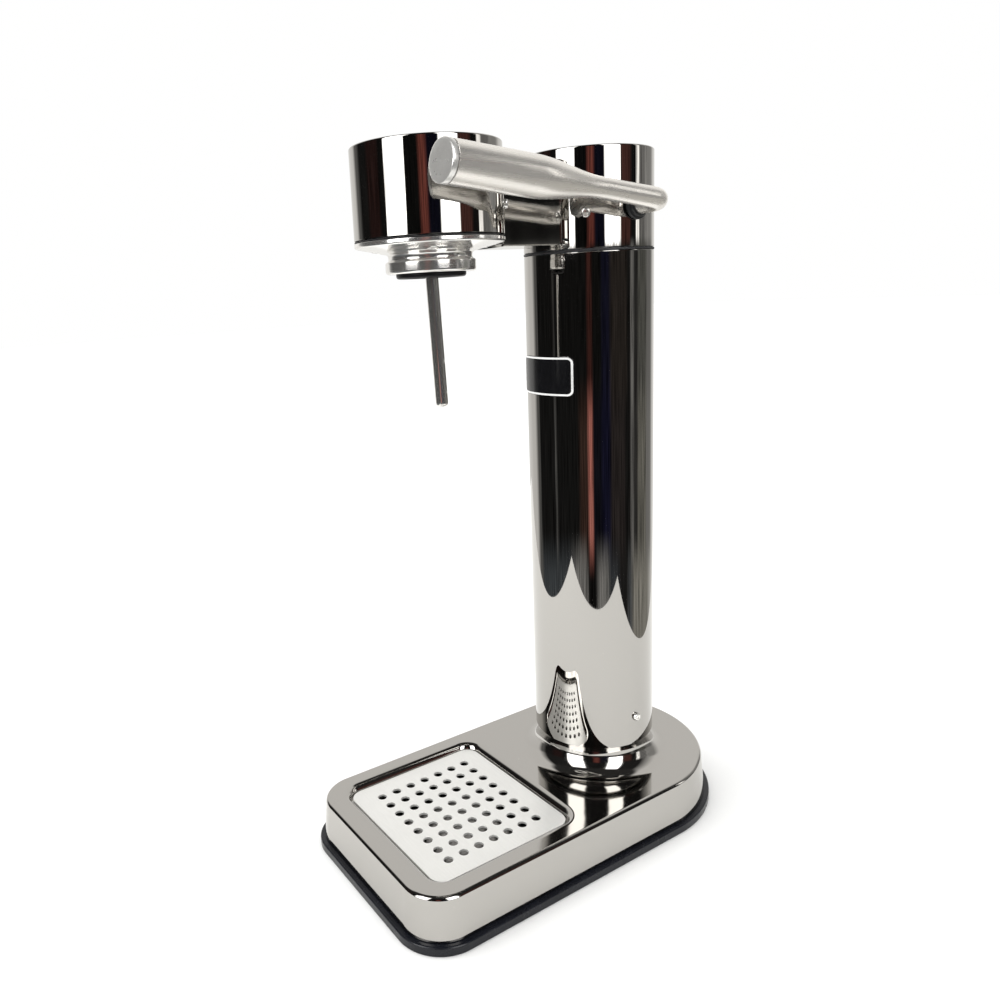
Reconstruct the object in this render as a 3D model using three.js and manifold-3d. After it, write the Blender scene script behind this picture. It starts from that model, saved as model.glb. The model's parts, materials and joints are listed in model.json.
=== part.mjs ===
// A lever carbonator: a stamped base with a drip tray, a column that hides the gas cylinder,
// and a head of two drums joined by a bridge, with a filling nozzle under the front drum.
// Millimetres. +Z is up, the front faces -Y, the lever is on +X, and the origin is the middle
// of the footprint on the table.
import * as THREE from 'three';
import { mergeVertices } from 'three/addons/utils/BufferGeometryUtils.js';
import Module from 'manifold-3d';

// ---- driving dimensions ------------------------------------------------------------------
const HEIGHT = 414;            // table to the top of the head
const BASE_LENGTH = 262;       // over the rubber rim
const BASE_HALF = 72.2;        // half the width over the rubber rim
const BASE_TOP = 31;
const FRONT_CORNER = 28;       // plan radius of the base's two front corners
const SHEET = 1.2;             // steel sheet of the base and the column
const GAP = 0.3;               // clearance between pieces that touch

const COLUMN_Y = 54;           // axis of the column, the rear drum and the gas cylinder
const COLUMN_R = 38.6;
const COLUMN_BOTTOM = 48.7;
const COLUMN_TOP = 357;

const DRUM_Y = -60.4;          // axis of the front drum, the bottle socket and the nozzle
const DRUM_R = 40.2;
const DRUM_BOTTOM = 367.2;
const REAR_DRUM_BOTTOM = COLUMN_TOP + 1.8;
const DRUM_WALL = 1.5;
const CAP_CHAMFER = 0.8;

const BRIDGE_HALF = 16.5;
const BRIDGE_BOTTOM = 361.5;
const BRIDGE_TOP = 407;

const FRAME_BOTTOM = 368;      // the die-cast frame inside the head
const FRAME_TOP = 371.6;

const TRAY_Y = -61.3;          // middle of the drip plate
const PLATE = { x: 51.6, y: 47.6, r: 8.5, top: 27.9, thick: 1.5 };
const HOLES = { across: 8, along: 7, pitch: 10.6, r: 2.8, y: -60.5 };
const WELL_FLOOR = 13;

const LEVER_X = 61;            // plane in which the arm swings
const LEVER_Z = 381.5;         // height of the lever's shaft
const LEVER_REST = 6;          // degrees that the arm rises towards its grip at rest
const LEVER_STROKE = 38;       // degrees down to the stop
const GRIP_R = 10.25;
const ROD_R = 5.5;
const SHAFT_R = 3.2;
const ARM_LENGTH = 147.3;
const CAM_THROW = 7.54;        // eccentricity, which is also millimetres of plunger per radian

const SOCKET_R = 19.2;         // bore of the steel collar that takes the bottle's neck
const COLLAR_R = 24.4;
const COLLAR_BOTTOM = 349.4;
const LINER_BOTTOM = 346.8;
const FLANGE_R = 40.3;
const FLANGE_BOTTOM = 363.2;   // at its edge: its underside is a shallow cone
const FLANGE_ROOT = 360;
const FLANGE_TOP = 366;
const NOZZLE_R = 3.5;
const NOZZLE_TIP = 276.5;
const NOZZLE_PIVOT = 355;
const NOZZLE_LEAN = 2.3;       // degrees: the nozzle hangs in a soft seal and leans back a little

const CYLINDER_R = 30;
const CYLINDER_BOTTOM = 14;
const CYLINDER_NECK = 331;     // top of the cylinder's neck, where its valve is screwed in
const VALVE_TOP = 353.6;
const BLOCK_R = 22;
const BLOCK_BOTTOM = 341.3;

const ROUND = 36;              // facets of a large round piece
const HIDDEN = 24;             // facets of a round piece inside
const SMALL = 10;              // facets of a screw or a small bore

const SIDE_SCREWS = [
  { name: 'head_screw_rear_right', y: COLUMN_Y, r: COLUMN_R, angle: -45, z: 378 },
  { name: 'head_screw_rear_left', y: COLUMN_Y, r: COLUMN_R, angle: -135, z: 378 },
  { name: 'head_screw_front_right', y: DRUM_Y, r: DRUM_R, angle: 52, z: 382.5 },
  { name: 'head_screw_front_left', y: DRUM_Y, r: DRUM_R, angle: 128, z: 382.5 },
  { name: 'column_screw_right', y: COLUMN_Y, r: COLUMN_R, angle: 0, z: 67.2 },
  { name: 'column_screw_left', y: COLUMN_Y, r: COLUMN_R, angle: 180, z: 67.2 },
];
const SCREW_R = 1.4;
const SCREW_HOLE_R = 1.8;
const FLANGE_SCREWS = { r: 29, seat: 362.6, angles: [-30, 60, 150, 240] };
const BLOCK_SCREWS = { r: 17.5, angles: [0, 90, 180] };
const BASE_SCREWS = [[57, -105], [-57, -105], [54, 66], [-54, 66]];
const OUTLET = { x: -13, y: 41 };

// ---- finishes ----------------------------------------------------------------------------
const metal = (color, roughness) => new THREE.MeshStandardMaterial({ color, roughness, metalness: 1 });
const plastic = (color, roughness) => new THREE.MeshStandardMaterial({ color, roughness, metalness: 0 });
const blackChrome = metal(0x6f6a64, 0.06);
const polished = metal(0xdcdad4, 0.12);
const brushed = metal(0xc9c4ba, 0.32);
const satin = metal(0xe0dcd4, 0.45);
const brass = metal(0xb99550, 0.3);
const castAlloy = metal(0x9a9c9e, 0.5);
const springSteel = metal(0x8a8c90, 0.35);
const rubber = plastic(0x1b1d22, 0.4);
const blackPlastic = plastic(0x131416, 0.35);
const label = plastic(0x0c0c0e, 0.25);
const hosePlastic = plastic(0xcfd3d6, 0.4);

// ---- geometry helpers --------------------------------------------------------------------
const wasm = await Module();
wasm.setup();
const rad = THREE.MathUtils.degToRad;

// A closed three.js geometry as a manifold-3d solid, for joining and cutting.
function solid(geometry) {
  const bare = geometry.index ? geometry.toNonIndexed() : geometry.clone();
  for (const name of Object.keys(bare.attributes)) {
    if (name !== 'position') bare.deleteAttribute(name);
  }
  const merged = mergeVertices(bare, 1e-3);
  const vertProperties = merged.attributes.position.array;
  const triVerts = new Uint32Array(merged.index.array);
  return new wasm.Manifold(new wasm.Mesh({ numProp: 3, vertProperties, triVerts }));
}

function join(...geometries) {
  return geometries.map(solid).reduce((sum, next) => sum.add(next));
}

function cut(body, ...geometries) {
  return geometries.map(solid).reduce((rest, tool) => rest.subtract(tool), body);
}

function geometryOf(body) {
  const { vertProperties, triVerts, numProp } = body.getMesh();
  const positions = new THREE.InterleavedBuffer(vertProperties, numProp);
  const geometry = new THREE.BufferGeometry();
  geometry.setAttribute('position', new THREE.InterleavedBufferAttribute(positions, 3, 0));
  geometry.setIndex(new THREE.BufferAttribute(triVerts, 1));
  geometry.computeVertexNormals();
  return geometry;
}

function piece(name, shape, material) {
  const geometry = shape.isBufferGeometry ? shape : geometryOf(shape);
  const mesh = new THREE.Mesh(geometry, material);
  mesh.name = name;
  return mesh;
}

// A profile of [radius, height] points turned about Z, going up on its outside.
function turned(profile, facets = ROUND) {
  return new THREE.LatheGeometry(vectors(profile), facets).rotateX(Math.PI / 2);
}

const disc = (r, z0, z1, facets) => turned([[0, z0], [r, z0], [r, z1], [0, z1]], facets);

function ring(inner, outer, z0, z1, facets) {
  return turned([[inner, z0], [outer, z0], [outer, z1], [inner, z1], [inner, z0]], facets);
}

// The same shape with its +Z axis laid along +X.
const alongX = (geometry) => geometry.rotateY(Math.PI / 2);

function box(x0, x1, y0, y1, z0, z1) {
  const geometry = new THREE.BoxGeometry(x1 - x0, y1 - y0, z1 - z0);
  return geometry.translate((x0 + x1) / 2, (y0 + y1) / 2, (z0 + z1) / 2);
}

// A pin on a radius of a round wall: built on +Z, laid outwards at an angle about the wall's axis.
function radial(geometry, { y, r, angle, z }) {
  return alongX(geometry).translate(r, 0, 0).rotateZ(rad(angle)).translate(0, y, z);
}

function arc(cx, cy, r, from, to, steps) {
  return Array.from({ length: steps + 1 }, (_, i) => {
    const a = rad(from + ((to - from) * i) / steps);
    return [cx + r * Math.cos(a), cy + r * Math.sin(a)];
  });
}

const vectors = (points) => points.map((p) => new THREE.Vector2(...p));
const circle = (cx, cy, r, sides) => vectors(arc(cx, cy, r, 0, 360, sides).slice(0, -1));

// The base in plan, drawn in from the rim by an inset: a half round behind, two corners in front.
function baseOutline(inset) {
  const half = BASE_HALF - inset;
  const rearCentre = BASE_LENGTH / 2 - BASE_HALF;
  const cx = BASE_HALF - FRONT_CORNER;
  const cy = FRONT_CORNER - BASE_LENGTH / 2;
  const r = FRONT_CORNER - inset;
  return [
    ...arc(0, rearCentre, half, 0, 180, 18),
    ...arc(-cx, cy, r, 180, 270, 6),
    ...arc(cx, cy, r, 270, 360, 6),
  ];
}

// The tray in plan, grown outwards from the drip plate.
function trayOutline(grow) {
  const cx = PLATE.x - PLATE.r;
  const cy = PLATE.y - PLATE.r;
  const r = PLATE.r + grow;
  return [
    ...arc(cx, TRAY_Y + cy, r, 0, 90, 4),
    ...arc(-cx, TRAY_Y + cy, r, 90, 180, 4),
    ...arc(-cx, TRAY_Y - cy, r, 180, 270, 4),
    ...arc(cx, TRAY_Y - cy, r, 270, 360, 4),
  ];
}

// Convex outlines stacked upwards and skinned, with a flat cap at each end.
function loft(outline, levels) {
  const rings = levels.map(([z, offset]) => outline(offset).map(([x, y]) => [x, y, z]));
  const n = rings[0].length;
  const last = (rings.length - 1) * n;
  const index = [];
  for (let level = 0; level < rings.length - 1; level += 1) {
    for (let i = 0; i < n; i += 1) {
      const a = level * n + i;
      const b = level * n + ((i + 1) % n);
      index.push(a, b, b + n, a, b + n, a + n);
    }
  }
  for (let i = 1; i < n - 1; i += 1) {
    index.push(0, i + 1, i);
    index.push(last, last + i, last + i + 1);
  }
  const geometry = new THREE.BufferGeometry();
  geometry.setAttribute('position', new THREE.Float32BufferAttribute(rings.flat(2), 3));
  geometry.setIndex(index);
  return geometry;
}

// Levels of a quarter round that ends flat on top: [height, extra offset].
function quarterRound(top, r, offset, steps = 3) {
  return Array.from({ length: steps + 1 }, (_, i) => {
    const a = (Math.PI / 2) * (i / steps);
    return [top - r + r * Math.sin(a), offset + r * (1 - Math.cos(a))];
  });
}

// A round wire or hose along a curve.
function tube(curve, r, steps, sides) {
  const section = new THREE.Shape(circle(0, 0, r, sides));
  return new THREE.ExtrudeGeometry(section, { extrudePath: curve, steps, bevelEnabled: false });
}

class Helix extends THREE.Curve {
  constructor(r, length, turns) {
    super();
    Object.assign(this, { r, length, turns });
  }

  getPoint(t, target = new THREE.Vector3()) {
    const a = 2 * Math.PI * this.turns * t;
    return target.set(this.r * Math.cos(a), this.r * Math.sin(a), this.length * t);
  }
}

// ---- base --------------------------------------------------------------------------------
const EDGE_R = 2.5;
const RIM_TOP = 5.6;
const SHELL_BOTTOM = 6.1;
const DRAFT = 2.3 / (BASE_TOP - SHELL_BOTTOM);
const WALL_INSET = 3.15;       // of the shell's foot from the rubber rim's outside
const FLOOR_INSET = 10.5;
const FLOOR_THICK = 1.5;
const FLOOR_BOTTOM = 2.2;
const NECK_R = 35;
const NECK_TOP = 62;
const FLARE_R = 14;
const CYLINDER_OPENING = 33;
const POST_R = 4;
const BASE_THREAD_R = 1.7;
const insetAt = (z) => WALL_INSET + DRAFT * (z - SHELL_BOTTOM);

function footRim() {
  const outer = loft(baseOutline, [[0, 0.5], [0.5, 0], [4.4, 0], [RIM_TOP, 1.2]]);
  return cut(solid(outer), loft(baseOutline, [[-1, 10], [RIM_TOP + 1, 10]]));
}

function baseSheet() {
  const shoulder = BASE_TOP - EDGE_R;
  const edge = quarterRound(BASE_TOP, EDGE_R, insetAt(shoulder));
  const outer = [[SHELL_BOTTOM, insetAt(SHELL_BOTTOM)], ...edge];
  const hollow = [
    [SHELL_BOTTOM - 1, insetAt(SHELL_BOTTOM) + SHEET],
    [shoulder, insetAt(shoulder) + SHEET],
    [BASE_TOP - SHEET, insetAt(shoulder) + EDGE_R],
  ];
  return cut(solid(loft(baseOutline, outer)), loft(baseOutline, hollow));
}

// The tray pressed into the base: a rounded lip, and a ledge for the plate with the well below it.
const LEDGE = PLATE.top - PLATE.thick - GAP;
const SEAT = 1;
const WELL_EDGE = -3;          // of the well from the plate's outline
const LIP_R = 4.7;

function trayBody() {
  return loft(trayOutline, [[LEDGE - SHEET, SEAT + 2.5], [BASE_TOP - SHEET / 2, SEAT + 2.5]]);
}

function trayPocket() {
  const lip = quarterRound(BASE_TOP, LIP_R, 0).map(([z, grow]) => [z, SEAT + grow]);
  return loft(trayOutline, [
    [LEDGE - SHEET - 1, WELL_EDGE], [LEDGE, WELL_EDGE], [LEDGE, SEAT], ...lip, [BASE_TOP + 1, SEAT + LIP_R],
  ]);
}

// The pan that catches drips hangs under the ledge by its flange.
function dripPan() {
  const top = LEDGE - SHEET - GAP;
  const wall = WELL_EDGE + SHEET;
  const body = loft(trayOutline, [
    [WELL_FLOOR - SHEET, wall], [top - SHEET, wall], [top - SHEET, SEAT], [top, SEAT],
  ]);
  return cut(solid(body), loft(trayOutline, [[WELL_FLOOR, WELL_EDGE], [top + 1, WELL_EDGE]]));
}

function baseShell() {
  const top = BASE_TOP - SHEET / 2;
  const foot = FLOOR_BOTTOM + FLOOR_THICK + GAP;
  const posts = BASE_SCREWS.map(([x, y]) => disc(POST_R, foot, top, SMALL).translate(x, y, 0));
  const threads = BASE_SCREWS.map(([x, y]) => disc(BASE_THREAD_R, 0, 16, SMALL).translate(x, y, 0));
  const seat = disc(NECK_R + GAP, BASE_TOP - EDGE_R, BASE_TOP + EDGE_R).translate(0, COLUMN_Y, 0);
  const body = baseSheet().add(join(trayBody(), ...posts));
  return cut(body, trayPocket(), seat, ...threads);
}

// The flared collar that stands on the base and carries the column.
function baseNeck() {
  const foot = BASE_TOP + GAP;
  const flare = NECK_R + FLARE_R;
  const fillet = arc(flare, foot + FLARE_R, FLARE_R, 255, 180, 6);
  const spigot = foot - GAP - SHEET;
  return turned([
    [NECK_R, spigot], [NECK_R, foot], [fillet[0][0], foot], ...fillet, [NECK_R, NECK_TOP],
    [CYLINDER_OPENING, NECK_TOP], [CYLINDER_OPENING, spigot], [NECK_R, spigot],
  ]).translate(0, COLUMN_Y, 0);
}

function baseFloor() {
  const top = FLOOR_BOTTOM + FLOOR_THICK;
  const plate = loft(baseOutline, [[FLOOR_BOTTOM, FLOOR_INSET], [top, FLOOR_INSET]]);
  const opening = disc(CYLINDER_OPENING + 1, 0, top + 1).translate(0, COLUMN_Y, 0);
  const hole = (x, y) => disc(BASE_THREAD_R + 0.1, 0, top + 1, SMALL).translate(x, y, 0);
  return cut(solid(plate), opening, ...BASE_SCREWS.map(([x, y]) => hole(x, y)));
}

function baseScrew([x, y]) {
  const profile = [[0, 0.7], [3.5, 0.7], [3.5, 2], [SCREW_R, 2], [SCREW_R, 15], [0, 15]];
  return turned(profile, SMALL).translate(x, y, 0);
}

function dripPlate() {
  const outline = new THREE.Shape(vectors(trayOutline(0)));
  for (let i = 0; i < HOLES.across; i += 1) {
    for (let j = 0; j < HOLES.along; j += 1) {
      const x = (i - (HOLES.across - 1) / 2) * HOLES.pitch;
      const y = HOLES.y + (j - (HOLES.along - 1) / 2) * HOLES.pitch;
      outline.holes.push(new THREE.Path(circle(x, y, HOLES.r, 8)));
    }
  }
  const plate = new THREE.ExtrudeGeometry(outline, { depth: PLATE.thick, bevelEnabled: false });
  return plate.translate(0, 0, PLATE.top - PLATE.thick);
}

const base = new THREE.Group();
base.add(
  piece('foot_rim', footRim(), rubber),
  piece('base_shell', baseShell(), blackChrome),
  piece('base_neck', baseNeck(), blackChrome),
  piece('drip_pan', dripPan(), blackChrome),
  piece('base_floor_plate', baseFloor(), blackPlastic),
  piece('drip_plate', dripPlate(), satin),
);
BASE_SCREWS.forEach((at, i) => base.add(piece(`base_screw_${i + 1}`, baseScrew(at), polished)));

// ---- column ------------------------------------------------------------------------------
const screwHole = (at) => radial(disc(SCREW_HOLE_R, -9, 3, SMALL), at);
const screwsOf = (prefix) => SIDE_SCREWS.filter(({ name }) => name.startsWith(prefix));

// A domed socket-head screw that stands on a round wall.
function sideScrew(at) {
  const profile = [
    [0, -7.5], [SCREW_R, -7.5], [SCREW_R, 0.3], [2.6, 0.3], [2.6, 0.8], [2.2, 1.6], [1.3, 2.1],
    [1.3, 1], [0, 1],
  ];
  return radial(turned(profile, SMALL), at);
}

function columnTube() {
  const wall = ring(COLUMN_R - SHEET, COLUMN_R, COLUMN_BOTTOM, COLUMN_TOP).translate(0, COLUMN_Y, 0);
  return cut(solid(wall), ...screwsOf('column').map(screwHole));
}

function columnFootRing() {
  const body = ring(NECK_R + 0.4, COLUMN_R - SHEET - GAP, COLUMN_BOTTOM + 1, 76, HIDDEN);
  return cut(solid(body).translate(0, COLUMN_Y, 0), ...screwsOf('column').map(screwHole));
}

// The label follows the column's curve, and has round corners.
function badge() {
  const [half, low, high, r] = [21.6, 275, 298, 3.5];
  const corners = [
    ...arc(half - r, high - r, r, 0, 90, 4), ...arc(r - half, high - r, r, 90, 180, 4),
    ...arc(r - half, low + r, r, 180, 270, 4), ...arc(half - r, low + r, r, 270, 360, 4),
  ];
  const outline = new THREE.Shape(vectors(corners));
  const block = new THREE.ExtrudeGeometry(outline, { depth: COLUMN_R + 5, bevelEnabled: false });
  const skin = ring(COLUMN_R + GAP, COLUMN_R + 0.9, low - 5, high + 5, 72);
  return solid(skin).intersect(solid(block.rotateX(Math.PI / 2))).translate(0, COLUMN_Y, 0);
}

const column = new THREE.Group();
column.add(
  piece('column_tube', columnTube(), blackChrome),
  piece('column_foot_ring', columnFootRing(), blackPlastic),
  piece('front_badge', badge(), label),
  piece('column_gasket', ring(37, COLUMN_R + 0.15, COLUMN_TOP + GAP, REAR_DRUM_BOTTOM - GAP), rubber)
    .translateY(COLUMN_Y),
  piece('column_top_ring', ring(33.5, 36.6, 338, FRAME_BOTTOM - GAP, HIDDEN), castAlloy)
    .translateY(COLUMN_Y),
);
SIDE_SCREWS.forEach((at) => column.add(piece(at.name, sideScrew(at), polished)));

// ---- head --------------------------------------------------------------------------------
const WINDOW_HALF = 14.5;

// A drum is a deep cup standing on its rim, with a window where the bridge meets it.
function drumCup(r, bottom, y) {
  const inner = r - DRUM_WALL;
  return turned([
    [inner, bottom], [r, bottom], [r, HEIGHT - CAP_CHAMFER], [r - CAP_CHAMFER, HEIGHT], [0, HEIGHT],
    [0, HEIGHT - DRUM_WALL], [inner, HEIGHT - DRUM_WALL], [inner, bottom],
  ]).translate(0, y, 0);
}

function rearDrum() {
  const window = box(-WINDOW_HALF, WINDOW_HALF, COLUMN_Y - 45, COLUMN_Y - 30, 364, 404);
  const bushHole = alongX(disc(6.3, 30, 45, 24)).translate(0, COLUMN_Y, LEVER_Z);
  const cup = solid(drumCup(COLUMN_R, REAR_DRUM_BOTTOM, COLUMN_Y));
  return cut(cup, window, bushHole, ...screwsOf('head_screw_rear').map(screwHole));
}

function frontDrum() {
  const window = box(-WINDOW_HALF, WINDOW_HALF, DRUM_Y + 30, DRUM_Y + 45, 368, 404);
  const cup = solid(drumCup(DRUM_R, DRUM_BOTTOM, DRUM_Y));
  return cut(cup, window, ...screwsOf('head_screw_front').map(screwHole));
}

// A rectangular sleeve, its ends cut to the drums' curves.
function bridge() {
  const inner = BRIDGE_HALF - DRUM_WALL;
  const outside = box(-BRIDGE_HALF, BRIDGE_HALF, DRUM_Y, COLUMN_Y, BRIDGE_BOTTOM, BRIDGE_TOP);
  const [low, high] = [BRIDGE_BOTTOM + DRUM_WALL, BRIDGE_TOP - DRUM_WALL];
  const inside = box(-inner, inner, DRUM_Y - 1, COLUMN_Y + 1, low, high);
  const front = disc(FLANGE_R + GAP, 340, HEIGHT + 1, 72).translate(0, DRUM_Y, 0);
  const rear = disc(COLUMN_R + 2 * GAP, 340, HEIGHT + 1, 72).translate(0, COLUMN_Y, 0);
  return cut(solid(outside), inside, front, rear);
}

// The frame that carries everything in the head: two discs, a beam, bearing ears and bosses.
function frame() {
  const ears = [-13, 9].map((x) => box(x, x + 4, COLUMN_Y - 7, COLUMN_Y + 7, FRAME_TOP - 1, LEVER_Z + 8));
  const boss = (at) => box(-7.5, -2, -4, 4, -8, 6).translate(at.r, 0, 0).rotateZ(rad(at.angle))
    .translate(0, at.y, FRAME_TOP + 7);
  const body = join(
    disc(DRUM_R - DRUM_WALL - 0.6, FRAME_BOTTOM, FRAME_TOP, HIDDEN).translate(0, DRUM_Y, 0),
    disc(COLUMN_R - DRUM_WALL - 0.6, FRAME_BOTTOM, FRAME_TOP, HIDDEN).translate(0, COLUMN_Y, 0),
    box(-12.5, 12.5, DRUM_Y, COLUMN_Y, FRAME_BOTTOM, FRAME_TOP),
    ...ears,
    ...screwsOf('head_screw').map(boss),
  );
  const drill = (r, x, y, sides = SMALL) => (
    disc(r, FRAME_BOTTOM - 5, FRAME_TOP + 2, sides).translate(x, y, 0));
  const around = ({ r, angles }, y) => angles.map((a) => (
    drill(SCREW_HOLE_R, r * Math.cos(rad(a)), y + r * Math.sin(rad(a)))));
  return cut(
    body,
    drill(7.6, 0, DRUM_Y, HIDDEN),
    drill(9, 0, COLUMN_Y, HIDDEN),
    box(-6, 6, COLUMN_Y - 12.5, COLUMN_Y, FRAME_BOTTOM - 1, FRAME_TOP + 2),
    drill(3, OUTLET.x, OUTLET.y),
    alongX(disc(SHAFT_R + GAP, -20, 20, SMALL)).translate(0, COLUMN_Y, LEVER_Z),
    ...around(FLANGE_SCREWS, DRUM_Y),
    ...around(BLOCK_SCREWS, COLUMN_Y),
    ...screwsOf('head_screw').map(screwHole),
  );
}

// The steel ring that the bottle's neck screws into, with its collar below.
function bottleFlange() {
  const body = turned([
    [SOCKET_R, COLLAR_BOTTOM], [COLLAR_R - 1.8, COLLAR_BOTTOM], [COLLAR_R - 0.6, COLLAR_BOTTOM + 1],
    [COLLAR_R, COLLAR_BOTTOM + 2.8], [COLLAR_R, 354.8], [22.9, 356.4], [22.6, 357.4], [23.3, 359],
    [25.5, FLANGE_ROOT], [FLANGE_R - 1.6, FLANGE_BOTTOM], [FLANGE_R - 0.5, FLANGE_BOTTOM + 0.5],
    [FLANGE_R, FLANGE_BOTTOM + 1.3], [FLANGE_R, FLANGE_TOP], [SOCKET_R, FLANGE_TOP],
    [SOCKET_R, COLLAR_BOTTOM],
  ]);
  const holes = FLANGE_SCREWS.angles.flatMap((a) => [
    disc(SCREW_HOLE_R, 350, 370, SMALL).translate(FLANGE_SCREWS.r, 0, 0).rotateZ(rad(a)),
    disc(2.8, 350, FLANGE_SCREWS.seat + GAP, SMALL).translate(FLANGE_SCREWS.r, 0, 0).rotateZ(rad(a)),
  ]);
  return cut(solid(body), ...holes);
}

function flangeScrew(angle) {
  const seat = FLANGE_SCREWS.seat;
  const face = seat - 1.5;
  const profile = [
    [0, face + 0.8], [1.1, face + 0.8], [1.1, face], [2.5, face], [2.5, seat], [SCREW_R, seat],
    [SCREW_R, FRAME_TOP], [0, FRAME_TOP],
  ];
  return turned(profile, SMALL).translate(FLANGE_SCREWS.r, 0, 0).rotateZ(rad(angle));
}

// The black liner hangs a little below the collar, and has ridges that grip the bottle's thread.
function bottleSocket() {
  const outer = SOCKET_R - GAP;
  const bore = 15.9;
  const ridges = [358, 352]
    .flatMap((z) => [[bore, z + 1], [bore - 0.8, z + 0.4], [bore - 0.8, z - 0.4], [bore, z - 1]]);
  return turned([
    [bore + 0.9, LINER_BOTTOM], [outer - 1.4, LINER_BOTTOM], [outer - 0.4, LINER_BOTTOM + 0.7],
    [outer, LINER_BOTTOM + 1.8], [outer, FLANGE_TOP + 0.6], [bore, FLANGE_TOP + 0.6], ...ridges,
    [bore, LINER_BOTTOM + 0.8], [bore + 0.9, LINER_BOTTOM],
  ], HIDDEN);
}

function nozzleHolder() {
  return turned([
    [4.5, 353], [8, 353], [9, 354], [9, 363], [15.5, 363], [15.5, 366.9], [7.2, 366.9], [7.2, 380],
    [4, 384], [1.5, 384], [1.5, 373], [4.5, 373], [4.5, 353],
  ], HIDDEN);
}

// The nozzle is a plain tube with a rounded tip, built down from its pivot in the holder.
function nozzleTube() {
  const tip = NOZZLE_TIP - NOZZLE_PIVOT;
  const bore = 1.1;
  const length = 17;
  return turned([
    [bore, tip], [2.2, tip + 0.3], [3.1, tip + 1.1], [NOZZLE_R, tip + 2.4], [NOZZLE_R, length],
    [bore, length], [bore, tip],
  ], HIDDEN).rotateX(rad(NOZZLE_LEAN));
}

// A closed relief valve: a broad foot, a body and a narrower cap.
function reliefValve(r, height) {
  const foot = FRAME_TOP + GAP;
  const top = foot + height;
  return turned([
    [0, foot], [r + 1.5, foot], [r + 1.5, foot + 3], [r, foot + 3], [r, top - 6], [r - 2, top - 6],
    [r - 2, top], [0, top],
  ], SMALL);
}

function gasHose() {
  const route = [
    [OUTLET.x, OUTLET.y, 377.5], [OUTLET.x, OUTLET.y - 0.5, 384], [-11, 32, 391], [-6, 5, 394],
    [0, -30, 396], [0, -53, 396], [0, DRUM_Y, 391], [0, DRUM_Y, 384.4],
  ].map((p) => new THREE.Vector3(...p));
  return tube(new THREE.CatmullRomCurve3(route, false, 'centripetal'), 3, 30, 8);
}

const head = new THREE.Group();
const bottleEnd = new THREE.Group();
bottleEnd.position.y = DRUM_Y;
bottleEnd.add(
  piece('front_gasket', ring(36.5, DRUM_R - 0.1, FLANGE_TOP + GAP, DRUM_BOTTOM - GAP), rubber),
  piece('bottle_flange', bottleFlange(), polished),
  piece('bottle_socket', bottleSocket(), blackPlastic),
  piece('bottle_seal', ring(9.4, 14.9, 359.4, 362.7, 32), rubber),
  piece('nozzle_holder', nozzleHolder(), blackPlastic),
);
FLANGE_SCREWS.angles.forEach((a, i) => {
  bottleEnd.add(piece(`flange_screw_${i + 1}`, flangeScrew(a), polished));
});
const nozzle = piece('nozzle_tube', nozzleTube(), polished);
nozzle.position.z = NOZZLE_PIVOT;
const releaseValve = piece('release_valve', reliefValve(5.5, 22), brass);
releaseValve.position.set(18, -16, 0);
const safetyValve = piece('safety_valve', reliefValve(4.5, 17), brass);
safetyValve.position.set(-18, -16, 0);
bottleEnd.add(nozzle, releaseValve, safetyValve);
head.add(
  piece('rear_drum_shell', rearDrum(), blackChrome),
  piece('front_drum_shell', frontDrum(), blackChrome),
  piece('bridge_shell', bridge(), blackChrome),
  piece('head_frame', frame(), castAlloy),
  piece('gas_hose', gasHose(), hosePlastic),
  bottleEnd,
);

// ---- gas valve and cylinder, on the column's axis ----------------------------------------
const PLUNGER_TOP = LEVER_Z - 5.9;
const PLUNGER_HEAD = 2.4;
const SPRING_SEAT = 362;
const SPRING_WIRE_R = 0.7;

function valveBlock() {
  const body = turned([
    [10.9, BLOCK_BOTTOM], [BLOCK_R, BLOCK_BOTTOM], [BLOCK_R, FRAME_BOTTOM - GAP],
    [8, FRAME_BOTTOM - GAP], [8, SPRING_SEAT], [2.4, SPRING_SEAT], [2.4, VALVE_TOP + GAP],
    [10.9, VALVE_TOP + GAP], [10.9, BLOCK_BOTTOM],
  ], HIDDEN);
  const threads = BLOCK_SCREWS.angles.map((a) => (
    disc(SCREW_HOLE_R, 356, 370, SMALL).translate(BLOCK_SCREWS.r, 0, 0).rotateZ(rad(a))));
  const outlet = disc(3, 359, 370, SMALL).translate(OUTLET.x, OUTLET.y - COLUMN_Y, 0);
  return cut(solid(body), outlet, ...threads);
}

function blockScrew(angle) {
  const seat = FRAME_TOP + 0.2;
  const profile = [[0, 357], [SCREW_R, 357], [SCREW_R, seat], [3, seat], [3, seat + 1.8], [0, seat + 1.8]];
  return turned(profile, SMALL).translate(BLOCK_SCREWS.r, 0, 0).rotateZ(rad(angle));
}

function outletFitting() {
  return turned([
    [1.2, 361], [2.6, 361], [2.6, 371.9], [4.5, 371.9], [4.5, 374], [2.4, 374], [2.4, 377.2],
    [1.2, 377.2], [1.2, 361],
  ], SMALL).translate(OUTLET.x, OUTLET.y - COLUMN_Y, 0);
}

// The plunger: a flat head under the cam, and a stem that reaches the cylinder's valve when pressed.
function plunger() {
  const stem = VALVE_TOP + CAM_THROW * rad(LEVER_STROKE) + GAP;
  return turned([
    [0, stem], [2, stem], [2, PLUNGER_TOP - PLUNGER_HEAD], [8.4, PLUNGER_TOP - PLUNGER_HEAD],
    [8.4, PLUNGER_TOP], [0, PLUNGER_TOP],
  ], HIDDEN);
}

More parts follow.
